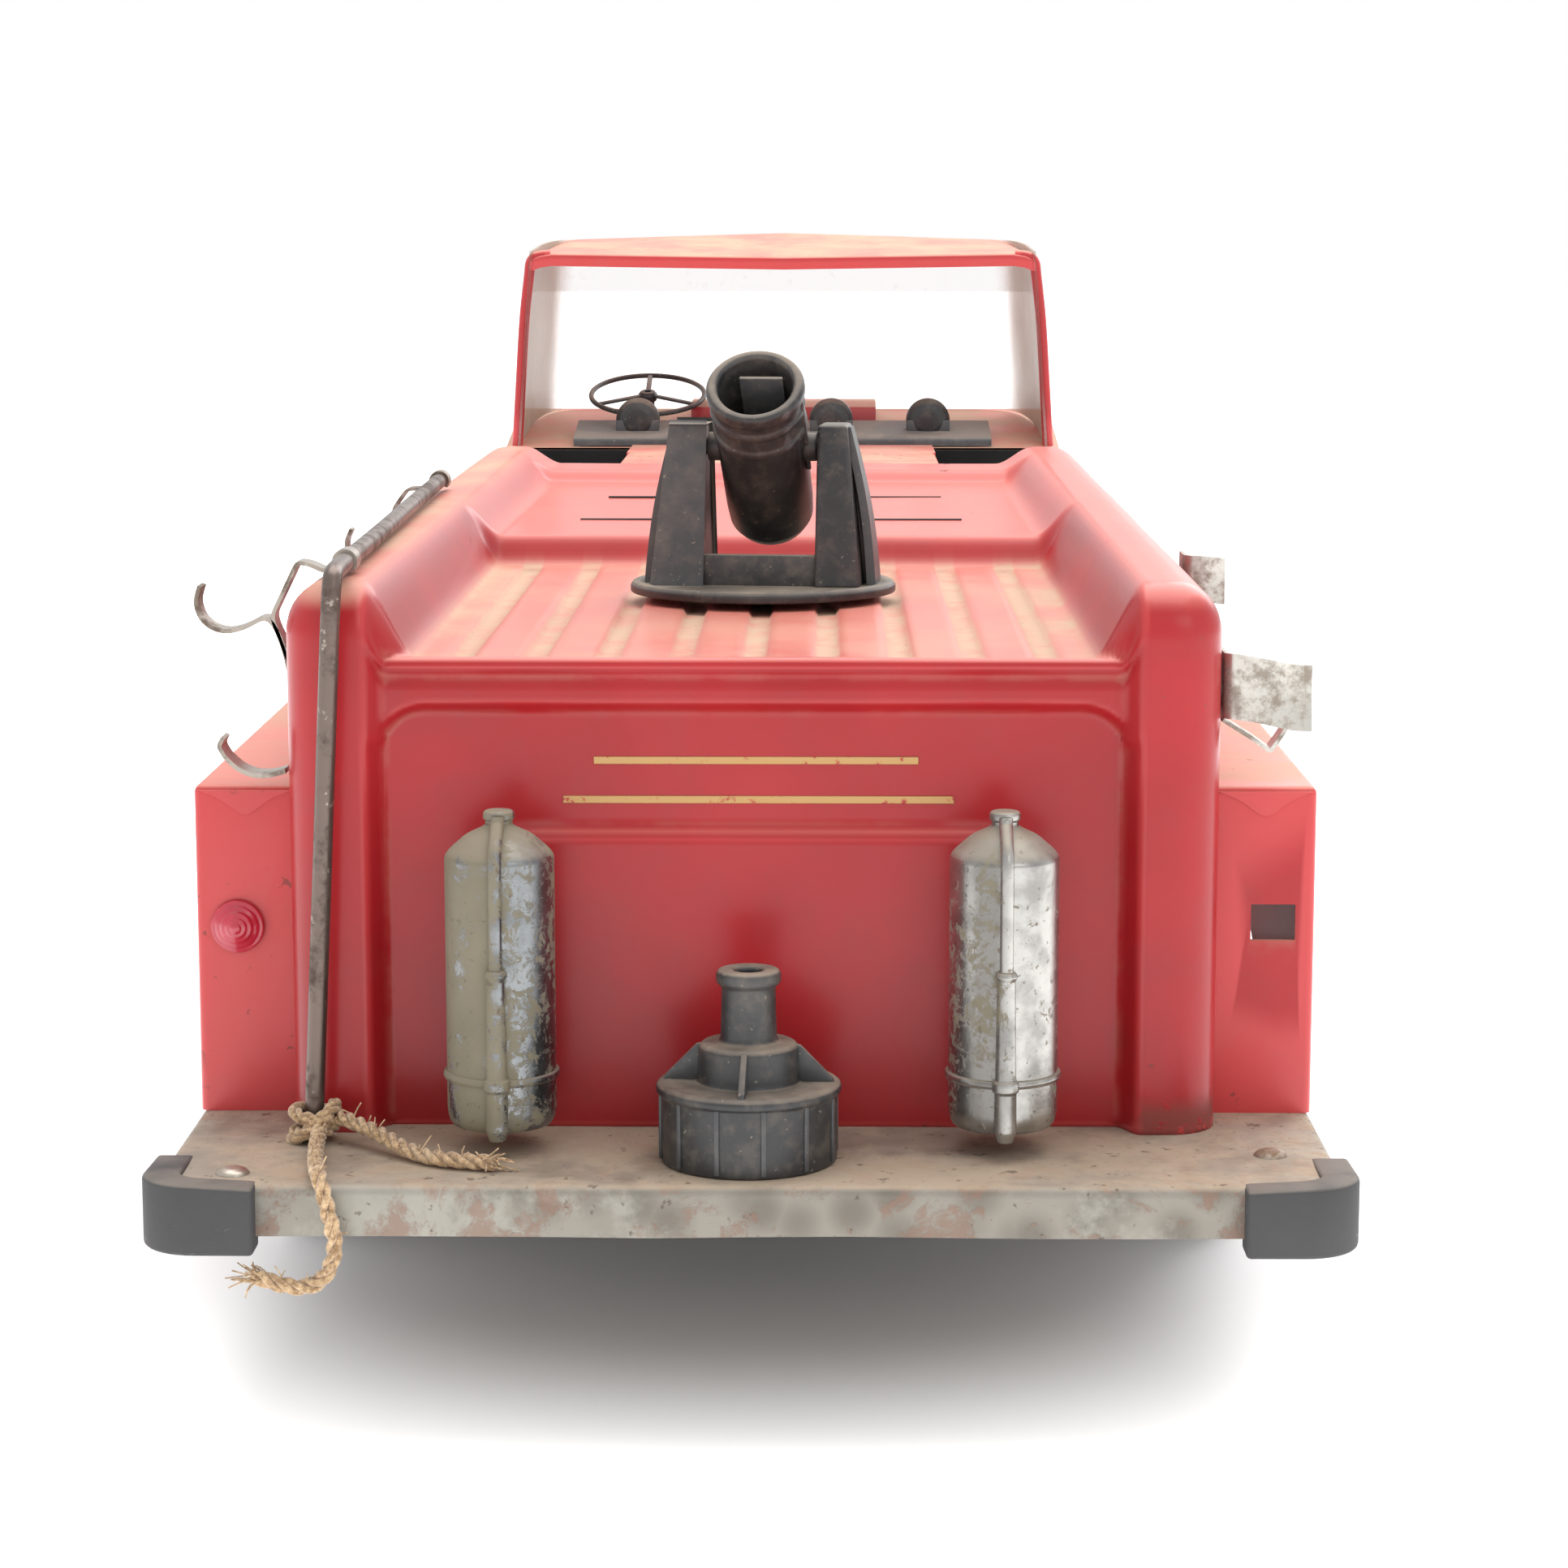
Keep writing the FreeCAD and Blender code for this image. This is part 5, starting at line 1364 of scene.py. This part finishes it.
def screenPiece():
    s = screenSizes
    plan = eased(screenPlan(2.9), 14, 8)
    full = [(-x, along) for x, along in plan] + plan[-2::-1]
    bm = bmesh.new()
    rows = 8
    for vert, column, row in gridPlaces(bm, len(full) - 1, rows):
        x, along = full[column]
        share, forward = row / rows, ease(along, s["rear"], s["front"])
        base, top = s["low"] + 9.3 * forward, s["high"] + 3.4 * forward
        vert.co = spot(x * (1 - share * s["tuck"] / s["rearHalf"]), along, base + (top - base) * share)
    bmesh.ops.recalc_face_normals(bm, faces=bm.faces)
    plate(bm, 0.8)
    newPiece("clearScreen", bm, pane, stand=("windshield_pane",), recalc=False)


def screenFrame():
    s = screenSizes
    rearHalf, frontHalf = s["rearHalf"] - s["tuck"] - 1.5, s["frontHalf"] - s["tuck"] + 4
    bm = bmesh.new()  # roof plate, sloping up forwards and peaked along its middle
    columns, rows = 44, 14
    for vert, column, row in gridPlaces(bm, columns, rows):
        across, share = 2 * column / columns - 1, row / rows
        half = rearHalf + (frontHalf - rearHalf) * ease(share, 0.0, 0.9)
        crown = (1 - abs(across)) ** 0.9
        roundOff = 2.2 * ease(abs(across), 0.93, 1.0)
        rise = s["high"] - 0.5 + (3.6 + 2.6 * crown) * share - 1.3 * crown * (1 - share)
        rise -= roundOff * (1 - 0.4 * share)
        vert.co = spot(across * half, s["rear"] + 0.3 + (s["front"] - s["rear"] + 0.2) * share, rise)
    bmesh.ops.recalc_face_normals(bm, faces=bm.faces)
    down = bmesh.ops.extrude_edge_only(bm, edges=[e for e in bm.edges if e.is_boundary])
    for vert in vertsOf(down):
        vert.co.z -= (4.0 if alongOf(vert.co.y) < s["rear"] + 2 else 2.4) * mm
    bmesh.ops.recalc_face_normals(bm, faces=bm.faces)
    turned = [e for e in bm.edges if len(e.link_faces) == 2 and e.calc_face_angle(0) > 0.7]
    roundEdges(bm, turned, 1.2, 4)
    faceUp(bm)
    plate(bm, 0.9)
    newPiece("screenRoof", bm, paintLitTop, stand=("windshield_frame",), recalc=False)
    foot, head = s["rearHalf"], s["rearHalf"] - s["tuck"]
    for side, label in ((-1, "Left"), (1, "Right")):
        path = [(foot - 1.8, 2.4, s["low"] + 0.1), (foot - 3.2, 2.4, 122), (foot - 4.6, 2.4, 144),
                (head - 1.7, 2.4, 157),
                (head - 2.0, 2.4, 161.2), (head - 4.2, 2.5, 163.0), (head - 8.5, 2.6, 163.2)]
        bm = tubeMesh("post", [spot(side * x, s["rear"] + along, rise) for x, along, rise in path], 1.75)
        newPiece("screenPost" + label, bm, paint, sharp=60)
        bm = bmesh.new()
        edge = sorted((side * (foot - 1.4), side * (foot - 2.4)))
        addBlock(bm, edge, (s["rear"] + 2, s["rear"] + 8), (s["low"] + 0.5, 160), 0.3, 1)
        for vert in bm.verts:
            vert.co.x -= side * (s["tuck"] - 0.2) * ease(riseOf(vert.co.z), s["low"], 163) * mm
        newPiece("screenEdge" + label, bm, paint)


gaugeSizes = {"pitch": 32, "radius": 7.2, "front": 558, "back": 565, "centre": 109.0}


def gauges():
    s = gaugeSizes
    bm = bmesh.new()
    half = spanOf("gauge_panel")[0][1]
    outline = [(549.2, 101.3), (549.2, 103.3), (550.2, 104.3), (576, 108.1)]
    addRibbon(bm, [spot(-half, along, rise) for along, rise in eased(outline, 0.8, 3)], (2 * half, 0, 0))
    bmesh.ops.recalc_face_normals(bm, faces=bm.faces)
    plate(bm, 0.8)
    newPiece("gaugeShelf", bm, blackDusty, stand=("gauge_panel",), recalc=False)
    bm = bmesh.new()
    r, middle = s["radius"], (s["front"] + s["back"]) / 2
    for i in range(4):
        x = (i - 1.5) * s["pitch"]
        place = Matrix.Translation(spot(x, middle, s["centre"])) @ Matrix.Rotation(math.pi / 2, 4, "X")
        addLathe(bm, [(0, 3.4), (r - 3.5, 3.1), (r - 1.2, 2.0), (r, 0.2), (r, -3.2), (0, -3.2)], place, 40,
                 0.3, 3)
        addBlock(bm, (x - r + 0.1, x + r - 0.1), (s["front"] + 0.9, s["back"] - 0.4), (104.6, s["centre"]),
                 0.3, 2)
    newPiece("gaugePods", bm, black, stand=("gauge_pods",))


wheelSizes = {"x": -45.9, "along": 588, "rise": 116, "tilt": 17, "rim": 19.1, "thick": 0.85}


def steeringWheel():
    s = wheelSizes
    place = Matrix.Translation(spot(s["x"], s["along"], s["rise"])) @ Matrix.Rotation(math.radians(s["tilt"]),
                                                                                      4, "X")
    bm = bmesh.new()
    angles = [math.tau * i / 10 for i in range(11)]
    ring = [(s["rim"] + s["thick"] * math.cos(a), s["thick"] * math.sin(a)) for a in angles]
    addLathe(bm, ring, place, 64, 0)
    addLathe(bm, [(1.1, -1.9), (3.0, -1.9), (3.2, 0.2), (2.4, 1.2), (1.1, 1.3), (1.1, -1.9)], place, 32, 0.2,
             2)
    for angle in (90, 210, 330):
        turn = Matrix.Rotation(math.radians(angle), 4, "Z")
        addBar(bm, (10.4, 0, 0), (16.6, 1.7, 0.9), 0.25, 2, place @ turn)
    newPiece("steeringWheelMoulding", bm, black, "helm", ("steering_wheel",))


def cab():
    for node, width in (("cab_shell", 0.8), ("engine_cover", 0), ("dash_panel", 0.6)):
        polished(node, paintLitTop if node != "cab_shell" else paint, width)
    for node in ("jump_seats", "bench_seat"):
        polished(node, seatBlack, 2.0, 3)
    polished("steering_column", black)
    polished("grille", brightPanel)
    polished("headlight_rims", chromeLamp)
    polished("headlight_lenses", lampGlass)
    polished("front_bumper", galvanised)
    polished("pump_panels", brightPanel)
    bm = bmesh.new()  # black sheets in the footwell and the seat wells: painted shade for the dark cab interior
    for x, along, rise in (((-89.2, 89.2), (546, 547), (70, 100.2)),
                           ((-89.2, -50), (508.5, 546), (92.4, 93.2)),
                           ((50, 89.2), (508.5, 546), (92.4, 93.2)), ((-89.2, -88.6), (512, 546), (70, 99.8)),
                           ((88.6, 89.2), (512, 546), (70, 99.8))):
        addBlock(bm, x, along, rise, 0.2, 1)
    newPiece("cabShadeSheets", bm, shadeBlack)
    polished("running_boards", galvanised, 0.6, 2)


screenPiece()
screenFrame()
gauges()
steeringWheel()
cab()
print("cab made")


# wheels and underside

treadSizes = {"blocks": 44, "depth": 0.9}


def wheels():
    for which, body in (("rear", "rear_wheels"), ("front", "front_wheels")):
        for side, label in sides:
            low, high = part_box(f"{which}_tyre_{label}")
            centre = (low + high) / 2
            r, w = (high.z - low.z) / 2 / mm, (high.x - low.x) / mm
            place = Matrix.Translation(centre) @ Matrix.Rotation(math.radians(90 * side), 4, "Y")
            h = w / 2
            outline = [(19.05, -h + 1), (21, -h + 0.5), (23, -h + 0.9), (25, -h), (r - 4, -h),
                       (r - 1.2, -h + 1.6), (r, -h + 4), (r, -1.5),
                       (r - 1.2, -1.0), (r - 1.2, 1.0), (r, 1.5), (r, h - 4), (r - 1.2, h - 1.6), (r - 4, h),
                       (25, h), (23, h - 0.9), (21, h - 0.5),
                       (19.05, h - 1)]
            bm = bmesh.new()
            addLathe(bm, outline, place, treadSizes["blocks"] * 2, 0.6, 2)
            for vert in bm.verts:  # cross grooves in the tread
                arm = Vector((vert.co.y - centre.y, vert.co.z - centre.z))
                index = round(math.atan2(arm.y, arm.x) / math.tau * treadSizes["blocks"] * 2)
                offCentre = abs(vert.co.x - centre.x) / mm
                if arm.length / mm > r - 0.9 and offCentre > 2.5 and index % 2 == 0:
                    arm = arm * (1 - treadSizes["depth"] / r)
                    vert.co.y, vert.co.z = centre.y + arm.x, centre.z + arm.y
            newPiece(f"{which}Tyre{label.title()}", bm, tyreBlack, body, (f"{which}_tyre_{label}",),
                     sharp=30)
        polished(f"{which}_hubs", hubWhite)
        polished(f"{which}_axle", axleSteel)
    polished("chassis_pan", chassisBlack)
    polished("axle_brackets", chassisBlack)


wheels()
print("wheels made")
